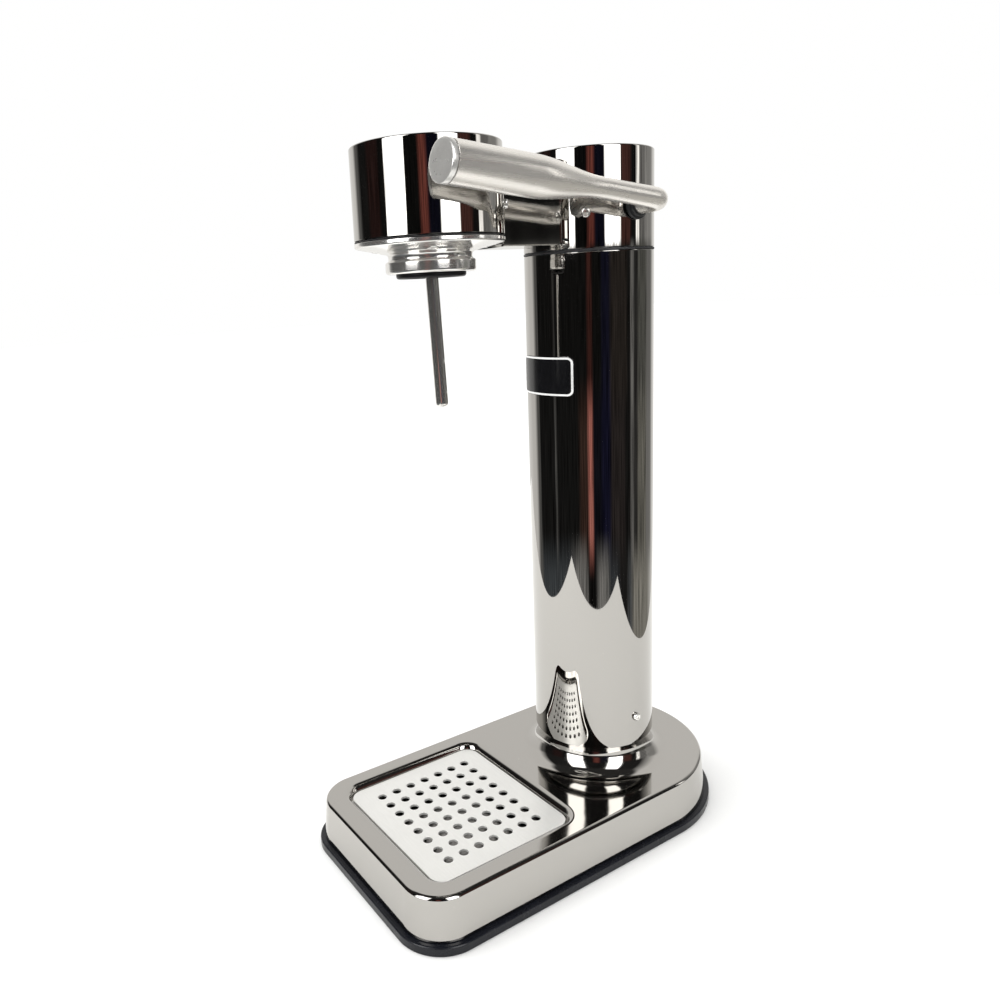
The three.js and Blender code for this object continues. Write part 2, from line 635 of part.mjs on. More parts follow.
function plungerSpring() {
  const end = GAP + SPRING_WIRE_R + 0.1;
  const length = PLUNGER_TOP - PLUNGER_HEAD - SPRING_SEAT - 2 * end;
  return tube(new Helix(5.4, length, 3), SPRING_WIRE_R, 36, 5).translate(0, 0, SPRING_SEAT + end);
}

function gasCylinder() {
  const wall = 2.5;
  const foot = CYLINDER_BOTTOM;
  return turned([
    [0, foot + 3], [20, foot], [26, foot], [CYLINDER_R, foot + 4], [CYLINDER_R, 298], [28.5, 308],
    [24, 318], [16, 326], [11, CYLINDER_NECK], [6, CYLINDER_NECK], [6, 325], [14, 322], [22, 315],
    [26, 307], [CYLINDER_R - wall, 298], [CYLINDER_R - wall, foot + 6], [24, foot + 3], [0, foot + 5.5],
  ], HIDDEN);
}

function cylinderValve() {
  const foot = CYLINDER_NECK + GAP;
  return turned([
    [0, foot], [10.5, foot], [10.5, VALVE_TOP - 0.8], [9.7, VALVE_TOP], [2.9, VALVE_TOP],
    [2.9, VALVE_TOP - 1], [0, VALVE_TOP - 1],
  ], HIDDEN);
}

const gasPath = new THREE.Group();
gasPath.position.y = COLUMN_Y;
gasPath.add(
  piece('valve_block', valveBlock(), brass),
  piece('outlet_fitting', outletFitting(), brass),
  piece('valve_plunger', plunger(), polished),
  piece('plunger_spring', plungerSpring(), springSteel),
  piece('gas_cylinder', gasCylinder(), satin),
  piece('cylinder_valve', cylinderValve(), brass),
);
BLOCK_SCREWS.angles.forEach((a, i) => gasPath.add(piece(`block_screw_${i + 1}`, blockScrew(a), polished)));

// ---- lever: its frame has the shaft on X and the arm towards -Y --------------------------
const BEND_R = 12;
const TAPER_START = 48;
const TAPER_END = 94.5;
const CAP_LENGTH = 3.2;
const CAP_STEM_R = 6;

// Rod from the bush, round the bend and along the arm.
function leverRod() {
  const path = new THREE.CurvePath();
  const corner = new THREE.Vector3(LEVER_X, 0, 0);
  const entry = new THREE.Vector3(LEVER_X - BEND_R, 0, 0);
  const exit = new THREE.Vector3(LEVER_X, -BEND_R, 0);
  const round = new THREE.CubicBezierCurve3(
    entry, entry.clone().lerp(corner, 0.5523), exit.clone().lerp(corner, 0.5523), exit,
  );
  path.add(new THREE.LineCurve3(new THREE.Vector3(43.2, 0, 0), entry));
  path.add(round);
  path.add(new THREE.LineCurve3(exit, new THREE.Vector3(LEVER_X, -TAPER_START, 0)));
  return tube(path, ROD_R, 24, 14);
}

// The grip swells smoothly from the rod, and its end is bored for the cap.
function leverGrip() {
  const steps = 8;
  const swell = Array.from({ length: steps + 1 }, (_, i) => {
    const t = i / steps;
    const r = ROD_R + (GRIP_R - ROD_R) * (1 - Math.cos(Math.PI * t)) / 2;
    return [r, TAPER_START + (TAPER_END - TAPER_START) * t];
  });
  const end = ARM_LENGTH - CAP_LENGTH - 0.4;
  const profile = [
    [0, TAPER_START - 1], [ROD_R, TAPER_START - 1], ...swell, [GRIP_R, end],
    [CAP_STEM_R + GAP, end], [CAP_STEM_R + GAP, end - 9], [0, end - 9],
  ];
  return turned(profile, HIDDEN).rotateX(Math.PI / 2).translate(LEVER_X, 0, 0);
}

function leverArm() {
  const shaft = turned([[0, -16], [SHAFT_R, -16], [SHAFT_R, 32], [5, 32], [5, 44], [0, 44]], 14);
  return join(alongX(shaft), leverRod(), leverGrip());
}

function gripEndCap() {
  const back = ARM_LENGTH - CAP_LENGTH;
  return turned([
    [0, back - 8], [CAP_STEM_R, back - 8], [CAP_STEM_R, back], [GRIP_R, back], [GRIP_R, ARM_LENGTH - 0.8],
    [GRIP_R - 0.8, ARM_LENGTH], [0, ARM_LENGTH],
  ], HIDDEN).rotateX(Math.PI / 2).translate(LEVER_X, 0, 0);
}

// The cam's round lobe starts half a stroke above level and ends half a stroke below.
function leverCam() {
  const start = rad(LEVER_STROKE / 2);
  const lobe = alongX(disc(8, -5, 5, HIDDEN))
    .translate(0, -CAM_THROW * Math.cos(start), CAM_THROW * Math.sin(start));
  const bore = alongX(disc(SHAFT_R + GAP, -9, 9, SMALL));
  return cut(join(alongX(disc(5.2, -5, 5, SMALL)), lobe), bore);
}

function leverBush() {
  return alongX(turned([
    [5.3, 34], [6, 34], [6, 38.9], [8.3, 38.9], [8.3, 40.2], [7.6, 40.9], [6.9, 40.9], [6.9, 42.2],
    [6.4, 42.6], [5.3, 42.6], [5.3, 34],
  ], HIDDEN));
}

const lever = new THREE.Group();
lever.position.set(0, COLUMN_Y, LEVER_Z);
const arm = new THREE.Group();
arm.rotation.x = rad(-LEVER_REST);
arm.add(
  piece('lever_arm', leverArm(), brushed),
  piece('grip_end_cap', gripEndCap(), brushed),
);
lever.add(
  arm,
  piece('lever_cam', leverCam(), polished),
  piece('shaft_circlip', alongX(ring(SHAFT_R + GAP, 6.2, -14.6, -13.4, SMALL)), springSteel),
  piece('lever_bush', leverBush(), blackPlastic),
  piece('lever_return_spring', alongX(tube(new Helix(6.2, 11, 4), 0.9, 48, 5)), springSteel)
    .translateX(18.5),
);

const carbonator = new THREE.Group();
carbonator.add(base, column, head, gasPath, lever);

export default carbonator;
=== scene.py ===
import json
import math

import bmesh
import bpy
from mathutils import Matrix, Vector


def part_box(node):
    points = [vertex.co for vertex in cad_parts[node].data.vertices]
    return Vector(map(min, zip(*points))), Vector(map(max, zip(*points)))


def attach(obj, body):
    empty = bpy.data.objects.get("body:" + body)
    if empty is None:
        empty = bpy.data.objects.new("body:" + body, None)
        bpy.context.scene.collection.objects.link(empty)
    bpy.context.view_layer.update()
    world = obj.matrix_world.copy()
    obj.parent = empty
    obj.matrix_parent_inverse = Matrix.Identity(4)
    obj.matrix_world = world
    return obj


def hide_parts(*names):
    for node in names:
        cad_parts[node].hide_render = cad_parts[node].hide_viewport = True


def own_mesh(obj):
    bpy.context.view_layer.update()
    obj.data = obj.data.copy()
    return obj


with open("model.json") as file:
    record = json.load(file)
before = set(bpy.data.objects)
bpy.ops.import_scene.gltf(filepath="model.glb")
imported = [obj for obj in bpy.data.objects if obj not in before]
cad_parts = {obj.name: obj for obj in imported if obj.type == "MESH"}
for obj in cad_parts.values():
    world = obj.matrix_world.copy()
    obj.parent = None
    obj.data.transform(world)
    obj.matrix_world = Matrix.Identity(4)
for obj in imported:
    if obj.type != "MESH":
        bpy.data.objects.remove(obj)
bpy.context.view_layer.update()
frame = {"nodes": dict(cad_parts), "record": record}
SCENE = bpy.context.scene
MM = 0.001


# ---- measures taken from the frame, in millimetres ------------------------------------------
def span(node):
    low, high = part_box(node)
    return [v / MM for v in low], [v / MM for v in high]


def axis_of(node):
    low, high = span(node)
    return (low[0] + high[0]) / 2, (low[1] + high[1]) / 2


def radius_of(node):
    low, high = span(node)
    return (high[0] - low[0]) / 2


COLUMN_Y = axis_of("column_tube")[1]
COLUMN_R = radius_of("column_tube")
DRUM_Y = axis_of("front_drum_shell")[1]
DRUM_R = radius_of("front_drum_shell")
SHEET = 1.2
GAP = 0.3

# ---- outlines and profiles ------------------------------------------------------------------


def arc(cx, cy, r, start, end, steps):
    angles = [math.radians(start + (end - start) * i / steps) for i in range(steps + 1)]
    return [(cx + r * math.cos(a), cy + r * math.sin(a)) for a in angles]


def rounded(points, closed=True, steps=5):
    """Corners given as (x, y, radius), turned into a polyline with round corners."""
    out = []
    count = len(points)
    for i, (x, y, r) in enumerate(points):
        if r == 0 or (not closed and i in (0, count - 1)):
            out.append((x, y))
            continue
        corner = Vector((x, y))
        before = (Vector(points[i - 1][:2]) - corner).normalized()
        after = (Vector(points[(i + 1) % count][:2]) - corner).normalized()
        half = before.angle(after) / 2
        centre = corner + (before + after).normalized() * (r / math.sin(half))
        first = corner + before * (r / math.tan(half)) - centre
        last = corner + after * (r / math.tan(half)) - centre
        start = math.atan2(first.y, first.x)
        sweep = (math.atan2(last.y, last.x) - start + math.pi) % (2 * math.pi) - math.pi
        for k in range(steps + 1):
            a = start + sweep * k / steps
            out.append((centre.x + r * math.cos(a), centre.y + r * math.sin(a)))
    return out


def round_rectangle(half_x, half_y, r, cy, steps):
    x, y = half_x - r, half_y - r
    return (
        arc(x, cy + y, r, 0, 90, steps) + arc(-x, cy + y, r, 90, 180, steps)
        + arc(-x, cy - y, r, 180, 270, steps) + arc(x, cy - y, r, 270, 360, steps)
    )


# ---- meshes ---------------------------------------------------------------------------------
SHARP_ANGLE = 32.0
POLE_R = 1e-6


def add_object(name, bm, sharp=SHARP_ANGLE):
    bmesh.ops.recalc_face_normals(bm, faces=bm.faces)
    mesh = bpy.data.meshes.new(name)
    bm.to_mesh(mesh)
    bm.free()
    obj = bpy.data.objects.new(name, mesh)
    SCENE.collection.objects.link(obj)
    smooth(obj, sharp)
    return obj


def smooth(obj, sharp=SHARP_ANGLE):
    obj.data.shade_smooth()
    obj.data.set_sharp_from_angle(angle=math.radians(sharp))


def bake_modifiers(obj):
    graph = bpy.context.evaluated_depsgraph_get()
    made = bpy.data.meshes.new_from_object(obj.evaluated_get(graph))
    obj.modifiers.clear()
    old = obj.data
    made.name = obj.name
    obj.data = made
    bpy.data.meshes.remove(old)
    return obj


def even_normals(obj):
    """Large faces keep their own normal, so that only the rounded edges shade round."""
    weighted = obj.modifiers.new("even_normals", "WEIGHTED_NORMAL")
    weighted.keep_sharp = True
    return bake_modifiers(obj)


def carve(obj, *cutters):
    for cutter in cutters:
        boolean = obj.modifiers.new("carve", "BOOLEAN")
        boolean.operation = "DIFFERENCE"
        boolean.solver = "EXACT"
        boolean.object = cutter
    bake_modifiers(obj)
    for cutter in cutters:
        bpy.data.objects.remove(cutter)
    smooth(obj)
    return obj


def round_walls(obj, centre, radius):
    """Gives the upright walls of a turned piece their exact round normals."""
    upright, near_wall, same_side = 0.02, 0.05 * MM, 0.98
    mesh = obj.data
    centre = Vector((centre[0], centre[1], 0)) * MM
    normals = [Vector(n.vector) for n in mesh.corner_normals]
    for face in mesh.polygons:
        if abs(face.normal.z) > upright:
            continue
        for corner in face.loop_indices:
            out = mesh.vertices[mesh.loops[corner].vertex_index].co - centre
            out.z = 0
            if abs(out.length - radius * MM) > near_wall:
                continue
            out.normalize()
            if out.dot(face.normal) > same_side:
                normals[corner] = out
    mesh.normals_split_custom_set([tuple(n) for n in normals])
    return obj


def skin(bm, rings, closed=False):
    """Quads between rings of the same count; a ring of one point closes to a pole."""
    made = [[bm.verts.new(Vector(p) * MM) for p in ring] for ring in rings]
    pairs = list(zip(made, made[1:]))
    if closed:
        pairs.append((made[-1], made[0]))
    for low, high in pairs:
        count = max(len(low), len(high))
        for i in range(count):
            j = (i + 1) % count
            corners = [low[i % len(low)], low[j % len(low)], high[j % len(high)], high[i % len(high)]]
            corners = [v for k, v in enumerate(corners) if v not in corners[:k]]
            if len(corners) > 2:
                bm.faces.new(corners)
    return made


def lathe(name, profile, closed=False, segments=144, at=(0, 0), shape=None, matrix=None):
    """A profile of (radius, height) turned about Z; shape may scale the radius with the angle."""
    rings = []
    for r, z in profile:
        if r < POLE_R:
            rings.append([(at[0], at[1], z)])
            continue
        ring = []
        for i in range(segments):
            a = 2 * math.pi * i / segments
            k = shape(r, a) if shape else 1.0
            ring.append((at[0] + r * k * math.cos(a), at[1] + r * k * math.sin(a), z))
        rings.append(ring)
    bm = bmesh.new()
    skin(bm, rings, closed)
    if matrix is not None:
        bm.transform(matrix)
    return add_object(name, bm)


def bar(name, x0, x1, y0, y1, z0, z1, bevel=0.0):
    bm = bmesh.new()
    low, high = skin(bm, [[(x0, y0, z), (x1, y0, z), (x1, y1, z), (x0, y1, z)] for z in (z0, z1)])
    bm.faces.new(low)
    bm.faces.new(high)
    obj = add_object(name, bm)
    if bevel:
        rounding = obj.modifiers.new("rounding", "BEVEL")
        rounding.width = bevel * MM
        rounding.segments = 4
        bake_modifiers(obj)
        smooth(obj)
    return obj


def along_x(x, y, z):
    """Places a shape built up +Z so that it points along +X from a point."""
    return Matrix.Translation(Vector((x, y, z)) * MM) @ Matrix.Rotation(math.pi / 2, 4, "Y")


def outward(y, z, angle, start=0.0):
    """Places a shape built up +Z so that it points outwards at an angle round an upright axis."""
    turn = Matrix.Translation(Vector((0, y, z)) * MM) @ Matrix.Rotation(math.radians(angle), 4, "Z")
    return turn @ along_x(start, 0, 0)


def cutting_pin(y, z, r, x0, x1, angle=0.0):
    """A pin outwards from an upright axis, between the distances x0 and x1."""
    profile = [(0, x0), (r, x0), (r, x1), (0, x1)]
    return lathe("cutter", profile, segments=24, matrix=outward(y, z, angle))


def cutting_drum(r, y):
    """A plain drum that is taller than the head and clears a round opening in it."""
    return lathe("cutter", [(0, 340), (r, 340), (r, 420), (0, 420)], segments=180, at=(0, y))


# ---- materials ------------------------------------------------------------------------------
NOISE_RANGE = (0.3, 0.7)


class Shader:
    """A node material built up by small steps round one Principled shader."""

    def __init__(self, name, colour, metallic, roughness, **sockets):
        self.material = bpy.data.materials.new(name)
        self.material.use_nodes = True
        self.nodes = self.material.node_tree.nodes
        self.links = self.material.node_tree.links
        self.bsdf = self.nodes["Principled BSDF"]
        self.colour = colour
        self.roughness = roughness
        self.bsdf.inputs["Base Color"].default_value = (*colour, 1)
        self.bsdf.inputs["Metallic"].default_value = metallic
        self.bsdf.inputs["Roughness"].default_value = roughness
        for socket, value in sockets.items():
            self.bsdf.inputs[socket.replace("_", " ")].default_value = value
        self.coordinates = self.nodes.new("ShaderNodeTexCoord").outputs["Object"]

    def noise(self, scale, stretch=(1, 1, 1), detail=4.0, turn=(0, 0, 0)):
        mapping = self.nodes.new("ShaderNodeMapping")
        mapping.inputs["Scale"].default_value = stretch
        mapping.inputs["Rotation"].default_value = turn
        self.links.new(self.coordinates, mapping.inputs["Vector"])
        texture = self.nodes.new("ShaderNodeTexNoise")
        texture.inputs["Scale"].default_value = scale
        texture.inputs["Detail"].default_value = detail
        self.links.new(mapping.outputs["Vector"], texture.inputs["Vector"])
        return texture.outputs["Fac"]

    def remap(self, value, low, high, to_low, to_high):
        node = self.nodes.new("ShaderNodeMapRange")
        node.inputs["From Min"].default_value = low
        node.inputs["From Max"].default_value = high
        node.inputs["To Min"].default_value = to_low
        node.inputs["To Max"].default_value = to_high
        self.links.new(value, node.inputs["Value"])
        return node.outputs["Result"]

    def vary_roughness(self, fac, amount):
        value = self.remap(fac, *NOISE_RANGE, self.roughness - amount, self.roughness + amount)
        self.links.new(value, self.bsdf.inputs["Roughness"])

    def vary_colour(self, fac, dark, light=1.0, between=NOISE_RANGE):
        ramp = self.nodes.new("ShaderNodeValToRGB")
        for element, position, factor in zip(ramp.color_ramp.elements, between, (dark, light)):
            element.position = position
            element.color = (*[min(1, c * factor) for c in self.colour], 1)
        self.links.new(fac, ramp.inputs["Fac"])
        self.links.new(ramp.outputs["Color"], self.bsdf.inputs["Base Color"])

    def bump(self, fac, distance):
        node = self.nodes.new("ShaderNodeBump")
        node.inputs["Strength"].default_value = 1.0
        node.inputs["Distance"].default_value = distance
        self.links.new(fac, node.inputs["Height"])
        self.links.new(node.outputs["Normal"], self.bsdf.inputs["Normal"])

    def turned(self, axis):
        """Stretches the highlights as fine turning marks round an axis do."""
        tangent = self.nodes.new("ShaderNodeTangent")
        tangent.direction_type = "RADIAL"
        tangent.axis = axis
        self.links.new(tangent.outputs["Tangent"], self.bsdf.inputs["Tangent"])


CHROME = (0.46, 0.447, 0.425)
DUST_RANGE = (0.22, 0.25)


def chrome(name, roughness, waviness):
    """Dark chrome plate: a mirror with faint smears, a trace of waviness and a few dust specks."""
    s = Shader(name, CHROME, 1.0, roughness)
    s.vary_roughness(s.noise(18.0, detail=6.0), roughness * 0.45)
    s.vary_colour(s.noise(700.0, detail=2.0), 1.25, 1.0, DUST_RANGE)
    if waviness:
        s.bump(s.noise(26.0, stretch=(1, 1, 0.35), detail=1.0), waviness)
    return s.material


def rough_metal(name, colour, roughness, grain):
    s = Shader(name, colour, 1.0, roughness)
    s.vary_roughness(s.noise(300.0), roughness * 0.25)
    s.vary_colour(s.noise(90.0), 0.8, 1.1)
    s.bump(s.noise(1400.0), grain)
    return s.material


chrome_tube = chrome("dark_chrome_tube", 0.025, 0.000012)
chrome_drum = chrome("dark_chrome_drum", 0.02, 0.0)
chrome_base = chrome("dark_chrome_base", 0.075, 0.00002)
chrome_well = rough_metal("dark_chrome_well", (0.24, 0.232, 0.225), 0.16, 0.000002)


PALE_STEEL = (0.78, 0.765, 0.735)
MARK_RANGE = (0.2, 0.8)


def steel(name, roughness, axis=None, colour=PALE_STEEL, metallic=1.0, stretch=(1, 1, 1), turn=(0, 0, 0)):
    """Brushed or turned steel with fine marks; an axis draws the highlights out round it."""
    s = Shader(name, colour, metallic, roughness, Anisotropic=0.4 if axis else 0.0)
    s.vary_roughness(s.noise(300.0, stretch=stretch, detail=2.0, turn=turn), roughness * 0.1)
    s.vary_colour(s.noise(1200.0, stretch=stretch, detail=2.0, turn=turn), 0.97, 1.03, MARK_RANGE)
    if axis:
        s.turned(axis)
    return s.material


LEVER_TILT = math.radians(6)
ALONG_ARM = (1.0, 0.03, 1.0)
brushed_arm = steel("brushed_steel_arm", 0.27, "Y", (0.82, 0.79, 0.745), 0.8, ALONG_ARM, (LEVER_TILT, 0, 0))
turned_end = steel("turned_steel_end", 0.3, None, (0.76, 0.75, 0.725), 0.72)
turned_ring = steel("turned_steel_ring", 0.12, "Z", (0.88, 0.865, 0.84), 0.91, (0.3, 0.3, 3))
screw_steel = steel("screw_steel", 0.16, None, (0.80, 0.79, 0.76), 0.85)
nozzle_steel = steel("nozzle_steel", 0.09, None, (0.76, 0.745, 0.72), 0.93, (4, 4, 0.15))
plain_steel = steel("plain_steel", 0.3)
spring_steel = steel("spring_wire", 0.3, None, (0.42, 0.43, 0.45))


def satin():
    s = Shader("satin_steel", (0.73, 0.725, 0.70), 0.35, 0.34)
    s.vary_roughness(s.noise(60.0), 0.06)
    s.vary_colour(s.noise(900.0, stretch=(0.12, 1, 1), detail=5.0), 0.97, 1.02)
    return s.material


def moulded(name, colour, roughness, grain, specular=0.5):
    s = Shader(name, colour, 0.0, roughness, Specular_IOR_Level=specular)
    s.vary_roughness(s.noise(140.0), roughness * 0.25)
    s.vary_colour(s.noise(60.0), 0.8, 1.2)
    s.bump(s.noise(2400.0), grain)
    return s.material


satin_steel = satin()
cast_alloy = rough_metal("cast_alloy", (0.40, 0.41, 0.42), 0.5, 0.00012)
brass = rough_metal("brass", (0.62, 0.45, 0.19), 0.28, 0.00002)
rubber = moulded("rubber", (0.008, 0.009, 0.013), 0.26, 0.00001, 0.3)
soft_rubber = moulded("soft_rubber", (0.02, 0.02, 0.022), 0.5, 0.00004)
black_plastic = moulded("black_plastic", (0.012, 0.013, 0.014), 0.34, 0.00003)
badge_black = moulded("badge_black", (0.006, 0.006, 0.007), 0.12, 0.000004)
liner_black = moulded("liner_black", (0.004, 0.004, 0.005), 0.4, 0.00002, 0.2)
badge_white = moulded("badge_white", (0.86, 0.86, 0.84), 0.35, 0.00001)
hose_plastic = moulded("hose_plastic", (0.55, 0.58, 0.60), 0.35, 0.00002)


def finish(obj, material, body, slot, *nodes):
    """Gives a piece its material and the body it moves with, and hides the CAD nodes it stands for; its slot is
    not used.
    """
    obj.data.materials.clear()
    obj.data.materials.append(material)
    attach(obj, body)
    if nodes:
        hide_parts(*nodes)
    return obj


# ---- base -----------------------------------------------------------------------------------
BASE_LOW, BASE_HIGH = span("foot_rim")
BASE_HALF = BASE_HIGH[0]
BASE_TOP = span("base_shell")[1][2]
RIM_TOP = BASE_HIGH[2]
SHELL_BOTTOM = RIM_TOP + 0.5
WALL_INSET = 3.15
DRAFT = 2.3 / (BASE_TOP - SHELL_BOTTOM)
FRONT_CORNER = 28.0
EDGE_R = 2.5


def base_outline(inset):
    half = BASE_HALF - inset
    cx = BASE_HALF - FRONT_CORNER
    cy = BASE_LOW[1] + FRONT_CORNER
    r = FRONT_CORNER - inset
    return (
        arc(0, BASE_HIGH[1] - BASE_HALF, half, 0, 180, 96)
        + arc(-cx, cy, r, 180, 270, 28) + arc(cx, cy, r, 270, 360, 28)
    )


def plan_ring(outline, z):
    return [(x, y, z) for x, y in outline]


PLATE_LOW, PLATE_HIGH = span("drip_plate")
TRAY_Y = (PLATE_LOW[1] + PLATE_HIGH[1]) / 2
PLATE_HALF = (PLATE_HIGH[0], (PLATE_HIGH[1] - PLATE_LOW[1]) / 2)
PLATE_CORNER = 8.5
LEDGE = PLATE_LOW[2] - GAP
# How far the tray's walls stand outside the plate's edge; inside it where below zero.
SEAT, WELL_EDGE, WELL_FOOT, WELL_MIDDLE = 1.0, -3, -3.6, -9
LIP_R = 4.7
WELL_FLOOR = 13.0
NECK_R = 35.0
FLARE_R = 14.0
NECK_TOP = span("base_neck")[1][2]
SKIN_SHARP_ANGLE = 50.0


def plate_outline(grow, steps):
    return round_rectangle(PLATE_HALF[0] + grow, PLATE_HALF[1] + grow, PLATE_CORNER + grow, TRAY_Y, steps)


def base_skin():
    """The base, its tray and its neck as one sheet, thickened inwards."""
    bm = bmesh.new()
    wall = rounded([
        (SHELL_BOTTOM, WALL_INSET, 0), (BASE_TOP, WALL_INSET + DRAFT * (BASE_TOP - SHELL_BOTTOM), EDGE_R),
        (BASE_TOP, WALL_INSET + 8, 0),
    ], closed=False, steps=9)[:-1]
    outer = skin(bm, [plan_ring(base_outline(inset), z) for z, inset in wall])[-1]
    tray = rounded([
        (SEAT + LIP_R + 1, BASE_TOP, 0), (SEAT, BASE_TOP, LIP_R), (SEAT, LEDGE, 0.5),
        (WELL_EDGE, LEDGE, 1.2), (WELL_FOOT, WELL_FLOOR, 2.5), (WELL_MIDDLE, WELL_FLOOR, 0),
    ], closed=False, steps=8)[1:-1]
    rings = skin(bm, [plan_ring(plate_outline(grow, 18), z) for grow, z in tray])
    bm.faces.new(rings[-1])
    flare = arc(NECK_R + FLARE_R, BASE_TOP + FLARE_R, FLARE_R, 270, 180, 20) + [(NECK_R, NECK_TOP)]
    circle = [[(r * c, COLUMN_Y + r * s, z) for c, s in arc(0, 0, 1, 0, 360, 144)[:-1]] for r, z in flare]
    neck = skin(bm, circle)[0]
    loops = [outer, rings[0], neck]
    edges = [bm.edges.get((loop[i - 1], loop[i])) for loop in loops for i in range(len(loop))]
    bmesh.ops.triangle_fill(bm, use_beauty=True, use_dissolve=False, edges=edges)
    obj = add_object("base_skin", bm, SKIN_SHARP_ANGLE)
    sheet = obj.modifiers.new("sheet", "SOLIDIFY")
    sheet.thickness = SHEET * MM
    sheet.offset = -1
    bake_modifiers(obj)
    smooth(obj, SKIN_SHARP_ANGLE)
    return even_normals(obj)


base = finish(base_skin(), chrome_base, "housing", "black_chrome", "base_shell", "base_neck", "drip_pan")
base.data.materials.append(chrome_well)
WELL_TOP = LEDGE - 0.6
for face in base.data.polygons:
    x, y, z = face.center / MM
    if z < WELL_TOP and abs(x) < PLATE_HALF[0] and abs(y - TRAY_Y) < PLATE_HALF[1]:
        face.material_index = 1


def foot_rim():
    width = 10
    profile = rounded([
        (0.4, 0, 0.3), (0, 0.5, 0.5), (0, RIM_TOP, 1.1), (width, RIM_TOP, 0.3), (width, 0, 0.3),
    ], steps=6)
    bm = bmesh.new()
    skin(bm, [plan_ring(base_outline(inset), z) for inset, z in profile], closed=True)
    return even_normals(add_object("rubber_rim", bm))


finish(foot_rim(), rubber, "housing", "rubber", "foot_rim")


def perforated_plate():
    """A flat sheet with its holes and edges slightly broken."""
    edge = 0.15
    pitch, hole_r, middle = 10.6, 2.8, -60.5
    across, deep = 8, 7
    curve = bpy.data.curves.new("drip_sheet", "CURVE")
    curve.dimensions = "2D"
    curve.fill_mode = "BOTH"
    curve.extrude = ((PLATE_HIGH[2] - PLATE_LOW[2]) / 2 - edge) * MM
    curve.bevel_depth = edge * MM
    curve.bevel_resolution = 2
    first_x, first_y = -(across - 1) / 2, -(deep - 1) / 2
    holes = [
        arc((i + first_x) * pitch, middle + (j + first_y) * pitch, hole_r + edge, 0, 360, 32)[:-1]
        for i in range(across) for j in range(deep)
    ]
    for points in [plate_outline(-edge, 16), *holes]:
        spline = curve.splines.new("POLY")
        spline.points.add(len(points) - 1)
        for point, (x, y) in zip(spline.points, points):
            point.co = (x * MM, y * MM, 0, 1)
        spline.use_cyclic_u = True
    source = bpy.data.objects.new("plate_source", curve)
    SCENE.collection.objects.link(source)
    graph = bpy.context.evaluated_depsgraph_get()
    mesh = bpy.data.meshes.new_from_object(source.evaluated_get(graph))
    bpy.data.objects.remove(source)
    mesh.transform(Matrix.Translation((0, 0, (PLATE_LOW[2] + PLATE_HIGH[2]) / 2 * MM)))
    bm = bmesh.new()
    bm.from_mesh(mesh)
    bmesh.ops.remove_doubles(bm, verts=bm.verts, dist=1e-6)
    return even_normals(add_object("drip_sheet", bm))


finish(perforated_plate(), satin_steel, "plate", "satin_steel", "drip_plate")


# ---- screws ---------------------------------------------------------------------------------


def hexagon(inner):
    """A shape that is hexagonal within the socket and round outside it."""
    def shape(r, a):
        if r > inner * 1.3:
            return 1.0
        step = math.pi / 3
        return math.cos(math.pi / 6) / math.cos((a % step) - step / 2)
    return shape


def domed_screw(name, matrix, head_r, shank, lift=0.3, height=1.8):
    """A button head with a hexagon socket, lifted off the wall at 0; its shank ends at the height shank."""
    socket = head_r * 0.46
    shank_r, rim = 1.4, 0.35
    slope = head_r - socket * 1.5
    dome = [(head_r, lift), (head_r, lift + rim)]
    for k in range(1, 7):
        a = math.pi / 2 * k / 7
        dome.append((head_r - slope * (1 - math.cos(a)), lift + rim + (height - rim) * math.sin(a)))
    top = lift + height
    profile = [(0, shank), (shank_r, shank), (shank_r, lift), *dome, (socket * 1.45, top),
               (socket, top - 0.12), (socket * 0.96, top - 1.1), (0, top - 1.25)]
    return lathe(name, profile, segments=48, shape=hexagon(socket), matrix=matrix)


# Each side screw's axis, the wall's radius there, the angle it points at and its height.
SIDE_SCREWS = {
    "head_screw_rear_right": (COLUMN_Y, COLUMN_R, -45, 378.0),
    "head_screw_rear_left": (COLUMN_Y, COLUMN_R, -135, 378.0),
    "head_screw_front_right": (DRUM_Y, DRUM_R, 52, 382.5),
    "head_screw_front_left": (DRUM_Y, DRUM_R, 128, 382.5),
    "column_screw_right": (COLUMN_Y, COLUMN_R, 0, 67.2),
    "column_screw_left": (COLUMN_Y, COLUMN_R, 180, 67.2),
}
for node, (y, r, angle, z) in SIDE_SCREWS.items():
    button = domed_screw(node.replace("screw", "button"), outward(y, z, angle, r), 2.6, -7.5)
    finish(button, screw_steel, "housing", "polished_steel", node)
SCREW_HOLE_R = 1.8


def screw_holes(prefix):
    return [cutting_pin(y, z, SCREW_HOLE_R, r - 9, r + 3, angle)
            for node, (y, r, angle, z) in SIDE_SCREWS.items() if node.startswith(prefix)]


# ---- column ---------------------------------------------------------------------------------
TUBE_LOW, TUBE_HIGH = span("column_tube")


def column():
    inner, bottom, top = COLUMN_R - SHEET, TUBE_LOW[2], TUBE_HIGH[2]
    wall = [(COLUMN_R, z) for z in (bottom + 2, 58, 76, 120, 180, 240, 300, top - 2)]
    profile = [
        (inner, bottom + 0.3), (inner + 0.3, bottom), (COLUMN_R - 0.5, bottom),
        (COLUMN_R - 0.15, bottom + 0.15), (COLUMN_R, bottom + 0.5), *wall, (COLUMN_R, top - 0.35),
        (COLUMN_R - 0.1, top - 0.1), (COLUMN_R - 0.35, top), (inner, top),
    ]
    tube = lathe("column_skin", profile, closed=True, segments=180, at=(0, COLUMN_Y))
    return round_walls(carve(tube, *screw_holes("column")), (0, COLUMN_Y), COLUMN_R)


finish(column(), chrome_tube, "housing", "black_chrome", "column_tube")


